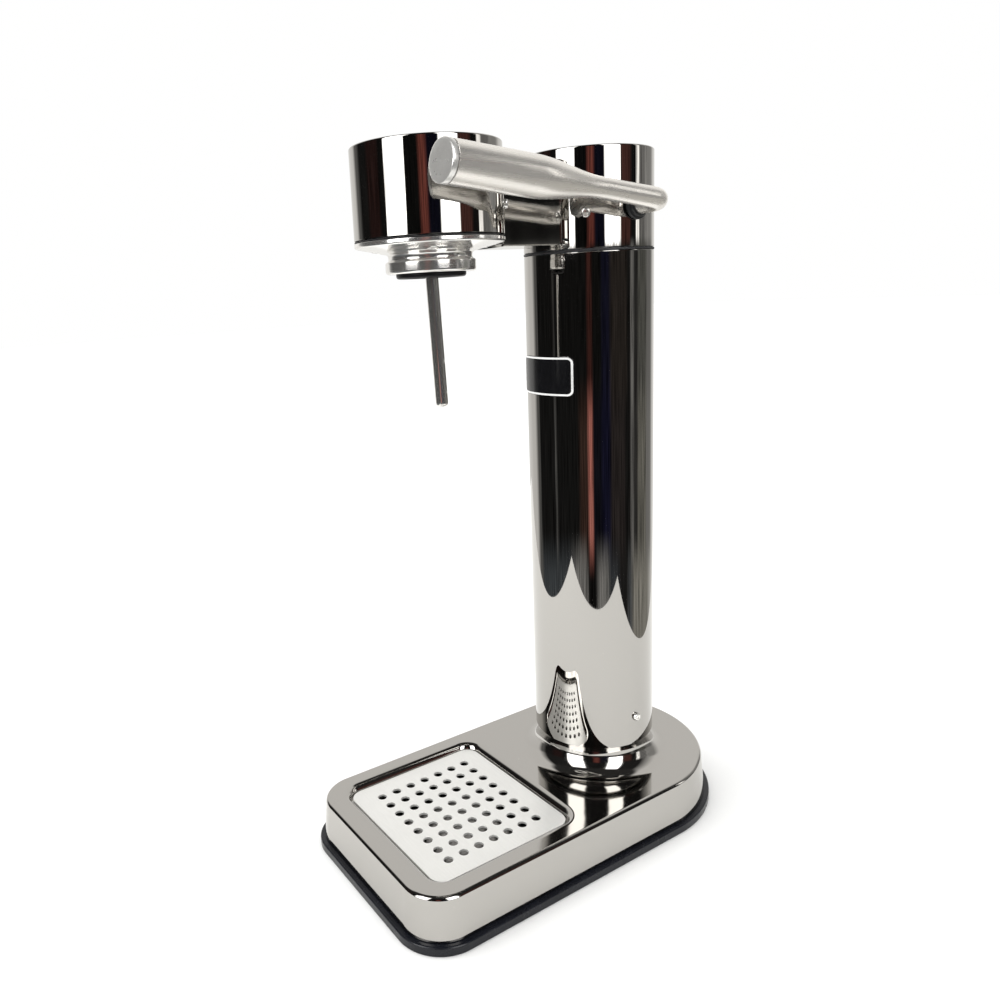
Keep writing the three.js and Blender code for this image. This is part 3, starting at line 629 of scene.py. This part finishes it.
def seam(name, node):
    """A thin dark ring in a seam, rounded outside."""
    low, high = span(node)
    outer = radius_of(node)
    inner = outer - 2.5
    profile = rounded([
        (inner, low[2], 0), (outer, low[2], 0.3), (outer, high[2], 0.3), (inner, high[2], 0),
    ], steps=5)
    return even_normals(lathe(name, profile, closed=True, segments=180, at=axis_of(node)))


finish(seam("column_seam", "column_gasket"), soft_rubber, "housing", "rubber", "column_gasket")
finish(seam("front_seam", "front_gasket"), soft_rubber, "housing", "rubber", "front_gasket")

BADGE_LOW, BADGE_HIGH = span("front_badge")


def bent_sheet(name, outlines, near, far):
    """Flat outlines in X and Z, filled, then laid on the column between two radii."""
    bm = bmesh.new()
    edges = []
    for outline in outlines:
        ring = [bm.verts.new((x * MM, 0, z * MM)) for x, z in outline]
        edges += [bm.edges.new((ring[i - 1], ring[i])) for i in range(len(ring))]
    bmesh.ops.triangle_fill(bm, use_beauty=True, use_dissolve=True, edges=edges)
    half, strips = BADGE_HIGH[0], 44
    for i in range(1, strips):
        everything = [*bm.verts, *bm.edges, *bm.faces]
        cut = ((i / (strips / 2) - 1) * half * MM, 0, 0)
        bmesh.ops.bisect_plane(bm, geom=everything, plane_co=cut, plane_no=(1, 0, 0))
    top = bmesh.ops.extrude_face_region(bm, geom=list(bm.faces))["geom"]
    raised = {v for v in top if isinstance(v, bmesh.types.BMVert)}
    for v in bm.verts:
        r = (far if v in raised else near) * MM
        v.co.y = COLUMN_Y * MM - math.sqrt(r * r - v.co.x ** 2)
    return add_object(name, bm, 40.0)


def badge_outline(inset):
    cz = (BADGE_LOW[2] + BADGE_HIGH[2]) / 2
    return round_rectangle(BADGE_HIGH[0] - inset, BADGE_HIGH[2] - cz - inset, 3.5 - inset, cz, 10)


label = bent_sheet("label_plate", [badge_outline(0)], COLUMN_R + GAP, COLUMN_R + 0.82)
finish(label, badge_black, "housing", "badge_black", "front_badge")
border_outlines = [badge_outline(0.2), badge_outline(1.3)]
border = bent_sheet("label_border", border_outlines, COLUMN_R + 0.8, COLUMN_R + 0.9)
finish(border, badge_white, "housing", "badge_black")


# ---- head -----------------------------------------------------------------------------------
LEVER_Z = (span("lever_bush")[0][2] + span("lever_bush")[1][2]) / 2
WINDOW_HALF, WINDOW_TOP = 14.5, 404
DRUM_WALL = 1.5
DRUM_EDGE_R = 0.9
DRUM_LEVELS = (374, 390, 406)
BUSH_HOLE_R = 6.3
FLANGE_R = radius_of("bottle_flange")


def drum(name, node, cutters):
    low, high = span(node)
    r, bottom, top = radius_of(node), low[2], high[2]
    inner = r - DRUM_WALL
    profile = [
        (inner, bottom), (r - 0.35, bottom), (r - 0.08, bottom + 0.1), (r, bottom + 0.35), (r, bottom + 2),
        *[(r, z) for z in DRUM_LEVELS], (r, top - 2),
        *arc(r - DRUM_EDGE_R, top - DRUM_EDGE_R, DRUM_EDGE_R, 0, 90, 6),
        (r - 4, top), (r / 2, top), (0, top), (0, top - DRUM_WALL), (inner, top - DRUM_WALL),
    ]
    cup = lathe(name, profile, segments=180, at=axis_of(node))
    bm = bmesh.new()
    bm.from_mesh(cup.data)
    rim = [e for e in bm.edges if e.is_boundary]
    bmesh.ops.bridge_loops(bm, edges=rim)
    bmesh.ops.recalc_face_normals(bm, faces=bm.faces)
    bm.to_mesh(cup.data)
    bm.free()
    return round_walls(carve(cup, *cutters), axis_of(node), r)


# Inside the bridge, each drum has an opening towards the other.
rear_opening = bar("cutter", -WINDOW_HALF, WINDOW_HALF, COLUMN_Y - 45, COLUMN_Y - 30, 364, WINDOW_TOP)
bush_hole = cutting_pin(COLUMN_Y, LEVER_Z, BUSH_HOLE_R, 30, 45)
rear_drum = drum("rear_drum", "rear_drum_shell", [rear_opening, bush_hole, *screw_holes("head_screw_rear")])
finish(rear_drum, chrome_drum, "housing", "black_chrome", "rear_drum_shell")
front_opening = bar("cutter", -WINDOW_HALF, WINDOW_HALF, DRUM_Y + 30, DRUM_Y + 45, 368, WINDOW_TOP)
front_drum = drum("front_drum", "front_drum_shell", [front_opening, *screw_holes("head_screw_front")])
finish(front_drum, chrome_drum, "housing", "black_chrome", "front_drum_shell")


def bridge():
    low, high = span("bridge_shell")
    half, bottom, top = high[0], low[2], high[2]
    sleeve = bar("bridge_skin", -half, half, DRUM_Y, COLUMN_Y, bottom, top, bevel=0.9)
    inside = bar("cutter", DRUM_WALL - half, half - DRUM_WALL, DRUM_Y - 1, COLUMN_Y + 1,
                 bottom + DRUM_WALL, top - DRUM_WALL)
    front, rear = cutting_drum(FLANGE_R + GAP, DRUM_Y), cutting_drum(COLUMN_R + 2 * GAP, COLUMN_Y)
    return even_normals(carve(sleeve, inside, front, rear))


finish(bridge(), chrome_base, "housing", "black_chrome", "bridge_shell")

FLANGE_LOW, FLANGE_HIGH = span("bottle_flange")
SOCKET_R, COLLAR_R, GROOVE_R = 19.2, 24.4, 22.6
COLLAR_TOP, GROOVE_BOTTOM, GROOVE_TOP, FLANGE_EDGE = 355.4, 356.4, 359.6, 363.6
FLANGE_SCREWS = {"flange_screw_1": -30, "flange_screw_2": 60, "flange_screw_3": 150, "flange_screw_4": 240}
FLANGE_SCREW_R = 29.0
FLANGE_SEAT = 362.6


def around_drum(angle):
    a = math.radians(angle)
    return FLANGE_SCREW_R * math.cos(a), DRUM_Y + FLANGE_SCREW_R * math.sin(a)


def flange():
    bottom, top = FLANGE_LOW[2], FLANGE_HIGH[2]
    profile = rounded([
        (SOCKET_R, bottom, 0.3), (COLLAR_R, bottom, 1.6), (COLLAR_R, COLLAR_TOP, 0.9),
        (GROOVE_R, GROOVE_BOTTOM, 1.0), (GROOVE_R, GROOVE_TOP, 2.2), (FLANGE_R, FLANGE_EDGE, 1.0),
        (FLANGE_R, top, 0.25), (SOCKET_R, top, 0),
    ], steps=8)
    body = lathe("steel_ring", profile, closed=True, segments=180, at=(0, DRUM_Y))
    mouth_r, recess_r, seat = 3.9, 2.7, FLANGE_SEAT + GAP
    recess = [
        (0, 350), (mouth_r, 350), (mouth_r, 359.9), (recess_r, 361.1), (recess_r, seat),
        (SCREW_HOLE_R, seat), (SCREW_HOLE_R, 370), (0, 370),
    ]
    cutters = [lathe("cutter", recess, segments=40, at=around_drum(a)) for a in FLANGE_SCREWS.values()]
    return even_normals(carve(body, *cutters))


finish(flange(), turned_ring, "housing", "polished_steel", "bottle_flange")
for node, angle in FLANGE_SCREWS.items():
    x, y = around_drum(angle)
    place = Matrix.Translation(Vector((x, y, FLANGE_SEAT)) * MM) @ Matrix.Rotation(math.pi, 4, "X")
    shank = FLANGE_SEAT - span(node)[1][2]
    button = domed_screw(node.replace("screw", "button"), place, 2.5, shank, lift=0, height=1.5)
    finish(button, screw_steel, "housing", "polished_steel", node)


def socket():
    low, high = span("bottle_socket")
    outer, bore = radius_of("bottle_socket"), 15.9
    ridge_r, ridges = bore - 0.8, []
    for z in (358, 352):
        ridges += [(bore, z + 1, 0), (ridge_r, z + 0.4, 0.2), (ridge_r, z - 0.4, 0.2), (bore, z - 1, 0)]
    profile = rounded([
        (bore + 0.4, low[2], 0.4), (outer, low[2], 1.5), (outer, high[2], 0), (bore, high[2], 0), *ridges,
        (bore, low[2] + 0.6, 0.2),
    ], steps=4)
    return even_normals(lathe("socket_liner", profile, closed=True, at=(0, DRUM_Y)))


finish(socket(), liner_black, "housing", "black_plastic", "bottle_socket")


def nozzle():
    """Built down its own axis, then leant about its pivot in the holder."""
    pivot, lean = 355.0, math.radians(2.3)
    r, bore, root = 3.5, 1.1, 17
    tip = (span("nozzle_tube")[0][2] - pivot) / math.cos(lean) + 0.1
    profile = [
        (bore, tip + 0.8), (bore + 0.3, tip + 0.15), (bore + 0.8, tip), (r - 1.4, tip + 0.1),
        (r - 0.5, tip + 0.7), (r - 0.12, tip + 1.5), (r, tip + 2.6), (r, tip + 12), (r, -20), (r, root),
        (bore, root), (bore, -20),
    ]
    place = Matrix.Translation(Vector((0, DRUM_Y, pivot)) * MM) @ Matrix.Rotation(lean, 4, "X")
    return lathe("nozzle", profile, closed=True, segments=64, matrix=place)


finish(nozzle(), nozzle_steel, "housing", "polished_steel", "nozzle_tube")

# ---- lever ----------------------------------------------------------------------------------
LEVER_X, BEND_R = 61.0, 12.0
ROD_R, GRIP_R = 5.5, radius_of("grip_end_cap")
TAPER_START, TAPER_END = 48.0, 94.5
ARM_LENGTH, CAP_LENGTH, CAP_GROOVE = 147.3, 3.2, 0.4
SHAFT_START, SHAFT_R = -16.0, 3.2
SLEEVE_START, SLEEVE_END, SLEEVE_R = 32, 43.2, 5.0
CAP_STEM_R, CAP_HOLE_R = 6, 6.3
BEND_START = LEVER_X - BEND_R - SHAFT_START
BEND_END = BEND_START + BEND_R * math.pi / 2
LEVER_PIVOT = Vector((0, COLUMN_Y, LEVER_Z)) * MM
LEVER_FRAME = Matrix.Translation(LEVER_PIVOT) @ Matrix.Rotation(-LEVER_TILT, 4, "X")


def lever_path(s):
    """A point of the lever's centre line and the direction it runs in, s along from the shaft's end."""
    if s < BEND_START:
        return (SHAFT_START + s, 0.0), (1.0, 0.0)
    if s < BEND_END:
        a = (s - BEND_START) / BEND_R
        c, k = math.cos(a), math.sin(a)
        return (LEVER_X - BEND_R + BEND_R * k, BEND_R * (c - 1)), (c, -k)
    return (LEVER_X, -BEND_R - (s - BEND_END)), (0.0, -1.0)


def on_shaft(x):
    return x - SHAFT_START


def reach(y):
    """How far along the centre line a distance in front of the shaft lies."""
    return BEND_END + y - BEND_R


def sweep(name, stations, segments=64):
    rings = []
    for s, r in stations:
        (x, y), (dx, dy) = lever_path(s)
        if r < POLE_R:
            rings.append([(x, y, 0)])
            continue
        ring = []
        for i in range(segments):
            a = 2 * math.pi * i / segments
            ring.append((x + dy * r * math.cos(a), y - dx * r * math.cos(a), r * math.sin(a)))
        rings.append(ring)
    bm = bmesh.new()
    skin(bm, rings)
    bm.transform(LEVER_FRAME)
    return add_object(name, bm)


def lever():
    end = reach(ARM_LENGTH - CAP_LENGTH - CAP_GROOVE)
    bend = [(BEND_START + (BEND_END - BEND_START) * k / 20, ROD_R) for k in range(21)]
    swell = []
    for k in range(29):
        t = k / 28
        swell.append((reach(TAPER_START + (TAPER_END - TAPER_START) * t),
                      ROD_R + (GRIP_R - ROD_R) * (1 - math.cos(math.pi * t)) / 2))
    stations = [
        (0, 0), (0, SHAFT_R - 0.4), (0.4, SHAFT_R), (on_shaft(SLEEVE_START), SHAFT_R),
        (on_shaft(SLEEVE_START), SLEEVE_R - 0.2), (on_shaft(SLEEVE_START + 0.2), SLEEVE_R),
        (on_shaft(SLEEVE_END), SLEEVE_R), (on_shaft(SLEEVE_END), ROD_R - 0.2),
        (on_shaft(SLEEVE_END + 0.2), ROD_R), *bend, *swell,
        (reach(120), GRIP_R), (end - 1, GRIP_R), (end - 0.25, GRIP_R), (end, GRIP_R - 0.25),
        (end, CAP_HOLE_R), (end - 9, CAP_HOLE_R), (end - 9, 0),
    ]
    return sweep("lever_bar", stations)


finish(lever(), brushed_arm, "lever", "brushed_steel", "lever_arm")


def grip_cap():
    back, end = reach(ARM_LENGTH - CAP_LENGTH), reach(ARM_LENGTH)
    return sweep("grip_cap", [
        (back - 8, 0), (back - 8, CAP_STEM_R), (back, CAP_STEM_R), (back, GRIP_R - 0.25),
        (back + 0.25, GRIP_R), (end - 0.9, GRIP_R), (end - 0.35, GRIP_R - 0.2), (end - 0.1, GRIP_R - 0.6),
        (end, GRIP_R - 1.1), (end, GRIP_R * 0.6), (end - 0.05, GRIP_R * 0.3), (end - 0.12, 0.6), (end - 0.15, 0),
    ], 96)


finish(grip_cap(), turned_end, "lever", "brushed_steel", "grip_end_cap")


def bush():
    """A stepped bush: its body in the drum's wall, a collar against the wall, and a narrower nose."""
    bore, body_r, collar_r, nose_r = 5.3, 6, 8.3, 6.9
    body, collar, nose, end = 34, 38.9, 40.9, 42.6
    profile = rounded([
        (bore, body, 0), (body_r, body, 0.2), (body_r, collar, 0), (collar_r, collar, 0.3),
        (collar_r, nose, 0.7), (nose_r, nose, 0.2), (nose_r, end, 0.6), (bore, end, 0.2),
    ], steps=5)
    return even_normals(lathe("lever_bushing", profile, closed=True, segments=96,
                              matrix=along_x(0, COLUMN_Y, LEVER_Z)))


finish(bush(), black_plastic, "housing", "black_plastic", "lever_bush")

# ---- plunger spring -------------------------------------------------------------------------


def coil(name, node, wire_r, turns):
    """A compression spring that fills its node's height."""
    low, high = span(node)
    cx, cy = axis_of(node)
    middle_r = radius_of(node) - wire_r
    steps, sides = turns * 36, 12
    rings = []
    for i in range(steps + 1):
        a = 2 * math.pi * turns * i / steps
        z = low[2] + wire_r + (high[2] - low[2] - 2 * wire_r) * i / steps
        section = [(middle_r + wire_r * c, z + wire_r * k) for c, k in arc(0, 0, 1, 0, 360, sides)[:-1]]
        rings.append([(cx + r * math.cos(a), cy + r * math.sin(a), height) for r, height in section])
    bm = bmesh.new()
    made = skin(bm, rings)
    bm.faces.new(made[0])
    bm.faces.new(made[-1])
    return add_object(name, bm)


spring = coil("plunger_coil", "plunger_spring", 0.65, 3)
finish(spring, spring_steel, "housing", "spring_steel", "plunger_spring")
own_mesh(spring)

# ---- CAD nodes that stay, in their finishes --------------------------------------------------
SLOT_FINISHES = {
    "black_chrome": chrome_base, "polished_steel": screw_steel, "brushed_steel": brushed_arm,
    "satin_steel": plain_steel, "cast_alloy": cast_alloy, "spring_steel": spring_steel, "brass": brass,
    "rubber": soft_rubber, "black_plastic": black_plastic, "badge_black": badge_black, "hose": hose_plastic,
}
for part in frame["record"]["subparts"]:
    node = frame["nodes"][part["node"]]
    if not node.hide_render:
        node.data.materials.clear()
        node.data.materials.append(SLOT_FINISHES[part["material_slot"]])

# ---- stage ----------------------------------------------------------------------------------


def pale(name, colour):
    s = Shader(name, colour, 0.0, 0.9, Specular_IOR_Level=0.0)
    s.vary_colour(s.noise(3.0), 0.995, 1.0)
    return s.material


def flat(name, corners, height, material):
    bm = bmesh.new()
    bm.faces.new([bm.verts.new((x * MM, y * MM, height * MM)) for x, y in corners])
    obj = add_object(name, bm)
    obj.data.materials.append(material)
    return obj


FAR = 9000
floor = flat("floor", [(-FAR, -FAR), (FAR, -FAR), (FAR, FAR), (-FAR, FAR)], 0.0,
             pale("pale_floor", (0.93, 0.93, 0.925)))
floor.visible_glossy = False
# What mirrors see of the floor is a table top with its near corner towards the front.
TABLE = {"corner": Vector((103, -514)), "along": Vector((0.553, 0.833)), "width": 717, "length": 1300}
across = Vector((-TABLE["along"].y, TABLE["along"].x))
c0 = TABLE["corner"]
c1 = c0 + TABLE["along"] * TABLE["width"]
table = flat("table", [c0, c1, c1 + across * TABLE["length"], c0 + across * TABLE["length"]], 0.1,
             pale("pale_table", (0.93, 0.925, 0.91)))
table.visible_camera = False
table.visible_diffuse = False
table.visible_shadow = False


BAND_BLUR = 0.3


def ramp_of(nodes, bands):
    """A colour ramp over azimuth from bands of (start, end, colour), in degrees."""
    node = nodes.new("ShaderNodeValToRGB")
    ramp = node.color_ramp
    stops = []
    for start, end, colour in bands:
        stops += [((start + 180 + BAND_BLUR) / 360, colour), ((end + 180 - BAND_BLUR) / 360, colour)]
    while len(ramp.elements) < len(stops):
        ramp.elements.new(1.0)
    for element, (position, colour) in zip(ramp.elements, stops):
        element.position = min(1, max(0, position))
        element.color = (*colour, 1)
    return node


def grey(v):
    """A grey that is a trace warm."""
    return (v, v * 0.985, v * 0.955)


# What mirrors see all round, in rows from high up to deep down.
WINDOW = (5.0, 5.0, 5.0)
HIGH_BANDS = [
    (-180, -168, grey(0.95)), (-150, -99, grey(0.02)), (-97, -65, WINDOW), (-63, -16, grey(0.012)),
    (-14, 14, WINDOW), (16, 60, grey(0.02)), (96, 180, grey(0.95)),
]
UPPER_BANDS = [
    (-180, -170, grey(0.92)), (-162, -157, grey(0.16)), (-150, -134, grey(0.012)),
    (-128, -111, (0.024, 0.012, 0.011)), (-106, -97, grey(0.008)), (-97, -65, WINDOW), (-65, -46, grey(0.006)),
    (-41, -35, (0.19, 0.055, 0.042)), (-31, -14, (0.006, 0.006, 0.012)), (-14, 14, WINDOW),
    (14, 32, (0.075, 0.032, 0.026)), (37, 47, grey(0.01)), (47, 54, grey(1.6)), (56, 70, grey(0.2)),
    (75, 94, grey(0.36)), (106, 180, grey(0.92)),
]
MIDDLE_BANDS = [
    (-180, -164, grey(0.85)), (-156, -150, grey(0.12)), (-148, -112, grey(0.010)), (-111, -108, grey(0.05)),
    (-107, -49, grey(0.009)), (-45, -41, (0.06, 0.022, 0.018)), (-37, -24, grey(0.008)),
    (-20, -9, (0.010, 0.010, 0.022)), (-4, 25, (0.030, 0.025, 0.022)), (28, 33, grey(0.012)),
    (35, 40, grey(0.20)), (43, 50, grey(0.03)), (53, 75, (0.11, 0.11, 0.10)), (80, 95, grey(0.22)),
    (106, 180, grey(0.90)),
]
BROWN_BANDS = [
    (-180, -164, grey(0.85)), (-156, -150, grey(0.12)), (-148, -112, grey(0.012)), (-111, -108, grey(0.10)),
    (-107, -66, grey(0.012)), (-60, -49, (0.045, 0.026, 0.02)), (-46, -40, (0.50, 0.18, 0.145)),
    (-38, -26, (0.008, 0.008, 0.012)), (-20, -9, (0.010, 0.010, 0.026)), (-4, 20, (0.030, 0.025, 0.024)),
    (24, 33, grey(0.012)), (35, 40, grey(0.16)), (43, 50, grey(0.04)), (53, 75, (0.17, 0.165, 0.145)),
    (80, 95, grey(0.26)), (106, 180, grey(0.90)),
]
DEEP_BANDS = [
    (-180, -164, grey(0.85)), (-156, -150, grey(0.14)), (-145, -84, (0.065, 0.073, 0.08)),
    (-70, -55, grey(0.26)), (-48, -36, grey(0.008)), (-28, -15, grey(0.24)), (-8, 4, (0.045, 0.05, 0.056)),
    (12, 26, grey(0.02)),
    (29, 35, (0.09, 0.095, 0.10)), (42, 82, (0.29, 0.28, 0.25)), (106, 180, grey(0.90)),
]
# The heights, as the Z of a direction, over which one row fades into the next one above it.
DEEP_TO_BROWN, BROWN_TO_MIDDLE, MIDDLE_TO_UPPER = (-0.34, -0.28), (-0.16, -0.10), (0.035, 0.05)
UPPER_TO_HIGH, HIGH_TO_CEILING = (0.42, 0.50), (0.80, 0.86)
CEILING = grey(0.035)
# The streaks: how many round the room and up it, where their noise counts, and how strong they are.
STREAKS_ROUND, STREAKS_UP = 75.0, 2.5
STREAK_RANGE, STREAK_GAIN, STREAK_OFFSET = (0.35, 0.65), 1.3, -0.55
# The dark side, in turns of azimuth: its middle, and how far from there the streaks are gone and whole.
DARK_MIDDLE, DARK_EDGE = 0.40, (0.34, 0.30)
ROOM_LIGHT, BACKDROP = (1.22, 1.22, 1.21), (1.0, 1.0, 0.998)


def studio():
    """Bright and even for the camera and for matt surfaces; a dark room with windows for mirrors."""
    world = bpy.data.worlds.new("studio")
    SCENE.world = world
    world.use_nodes = True
    nodes, links = world.node_tree.nodes, world.node_tree.links
    nodes.clear()

    def math_node(operation, *values):
        node = nodes.new("ShaderNodeMath")
        node.operation = operation
        for socket, value in zip(node.inputs, values):
            if isinstance(value, (int, float)):
                socket.default_value = value
            else:
                links.new(value, socket)
        return node.outputs[0]

    def mix(factor, first, second):
        node = nodes.new("ShaderNodeMix")
        node.data_type = "RGBA"
        colours = [s for s in node.inputs if s.type == "RGBA"]
        for socket, value in zip(colours, (first, second)):
            if isinstance(value, tuple):
                socket.default_value = (*value, 1)
            else:
                links.new(value, socket)
        links.new(factor, node.inputs[0])
        return next(s for s in node.outputs if s.type == "RGBA")

    def step(value, low, high):
        node = nodes.new("ShaderNodeMapRange")
        node.interpolation_type = "SMOOTHSTEP"
        node.inputs["From Min"].default_value = low
        node.inputs["From Max"].default_value = high
        links.new(value, node.inputs["Value"])
        return node.outputs["Result"]

    split = nodes.new("ShaderNodeSeparateXYZ")
    links.new(nodes.new("ShaderNodeTexCoord").outputs["Generated"], split.inputs[0])
    x, y, z = split.outputs
    azimuth = math_node("ADD", math_node("DIVIDE", math_node("ARCTAN2", y, x), 2 * math.pi), 0.5)
    rows = []
    for bands in (DEEP_BANDS, BROWN_BANDS, MIDDLE_BANDS, UPPER_BANDS, HIGH_BANDS):
        row = ramp_of(nodes, bands)
        links.new(azimuth, row.inputs["Fac"])
        rows.append(row.outputs["Color"])
    deep, brown, middle, upper, high = rows
    room = mix(step(z, *DEEP_TO_BROWN), deep, brown)
    room = mix(step(z, *BROWN_TO_MIDDLE), room, middle)
    room = mix(step(z, *MIDDLE_TO_UPPER), room, upper)
    # The dark side of the room is uneven, in fine upright streaks.
    where = nodes.new("ShaderNodeCombineXYZ")
    links.new(math_node("MULTIPLY", azimuth, STREAKS_ROUND), where.inputs[0])
    links.new(math_node("MULTIPLY", z, STREAKS_UP), where.inputs[1])
    grain = nodes.new("ShaderNodeTexNoise")
    grain.inputs["Detail"].default_value = 3.0
    links.new(where.outputs[0], grain.inputs["Vector"])
    streaks = math_node("MULTIPLY_ADD", step(grain.outputs["Fac"], *STREAK_RANGE), STREAK_GAIN, STREAK_OFFSET)
    dark_side = step(math_node("ABSOLUTE", math_node("SUBTRACT", azimuth, DARK_MIDDLE)), *DARK_EDGE)
    scaled = nodes.new("ShaderNodeVectorMath")
    scaled.operation = "SCALE"
    links.new(room, scaled.inputs[0])
    links.new(math_node("MULTIPLY_ADD", dark_side, streaks, 1.0), scaled.inputs["Scale"])
    room = mix(step(z, *UPPER_TO_HIGH), scaled.outputs[0], high)
    room = mix(step(z, *HIGH_TO_CEILING), room, CEILING)
    path = nodes.new("ShaderNodeLightPath")
    seen = mix(path.outputs["Is Glossy Ray"], ROOM_LIGHT, room)
    seen = mix(path.outputs["Is Camera Ray"], seen, BACKDROP)
    background = nodes.new("ShaderNodeBackground")
    links.new(seen, background.inputs["Color"])
    output = nodes.new("ShaderNodeOutputWorld")
    links.new(background.outputs[0], output.inputs["Surface"])


studio()

softbox = bpy.data.lights.new("softbox", "AREA")
softbox.shape = "DISK"
softbox.size = 1.2
softbox.energy = 9.0
lamp = bpy.data.objects.new("softbox", softbox)
lamp.location = (-0.5, -0.9, 1.5)
LAMP_TARGET = Vector((0, 0, 0.2))
lamp.rotation_euler = (LAMP_TARGET - lamp.location).to_track_quat("-Z", "Y").to_euler()
lamp.visible_glossy = False
SCENE.collection.objects.link(lamp)

# ---- camera ---------------------------------------------------------------------------------
IMAGE = 1000
SENSOR = 36.0
FOCAL_PIXELS = 837.25
CENTRE_PIXELS = (419.23, 467.01)
CAMERA_AT = Vector((387.14, -314.06, 339.62))
AZIMUTH, ELEVATION, ROLL = 58.26, 11.78, -3.1
azimuth, elevation, roll = (math.radians(v) for v in (AZIMUTH, ELEVATION, ROLL))
level = math.cos(elevation)
back = Vector((math.sin(azimuth) * level, -math.cos(azimuth) * level, math.sin(elevation)))
right = Vector((math.cos(azimuth), math.sin(azimuth), 0))
up = back.cross(right)
rolled_right = right * math.cos(roll) + up * math.sin(roll)
rolled_up = up * math.cos(roll) - right * math.sin(roll)
camera_data = bpy.data.cameras.new("camera")
camera_data.sensor_width = SENSOR
camera_data.lens = FOCAL_PIXELS / IMAGE * SENSOR
camera_data.shift_x = 0.5 - CENTRE_PIXELS[0] / IMAGE
camera_data.shift_y = CENTRE_PIXELS[1] / IMAGE - 0.5
camera_data.clip_start = 0.01
camera = bpy.data.objects.new("camera", camera_data)
turn = Matrix((rolled_right, rolled_up, back)).transposed().to_4x4()
camera.matrix_world = Matrix.Translation(CAMERA_AT * MM) @ turn
SCENE.collection.objects.link(camera)
SCENE.camera = camera
SCENE.view_settings.view_transform = "Standard"
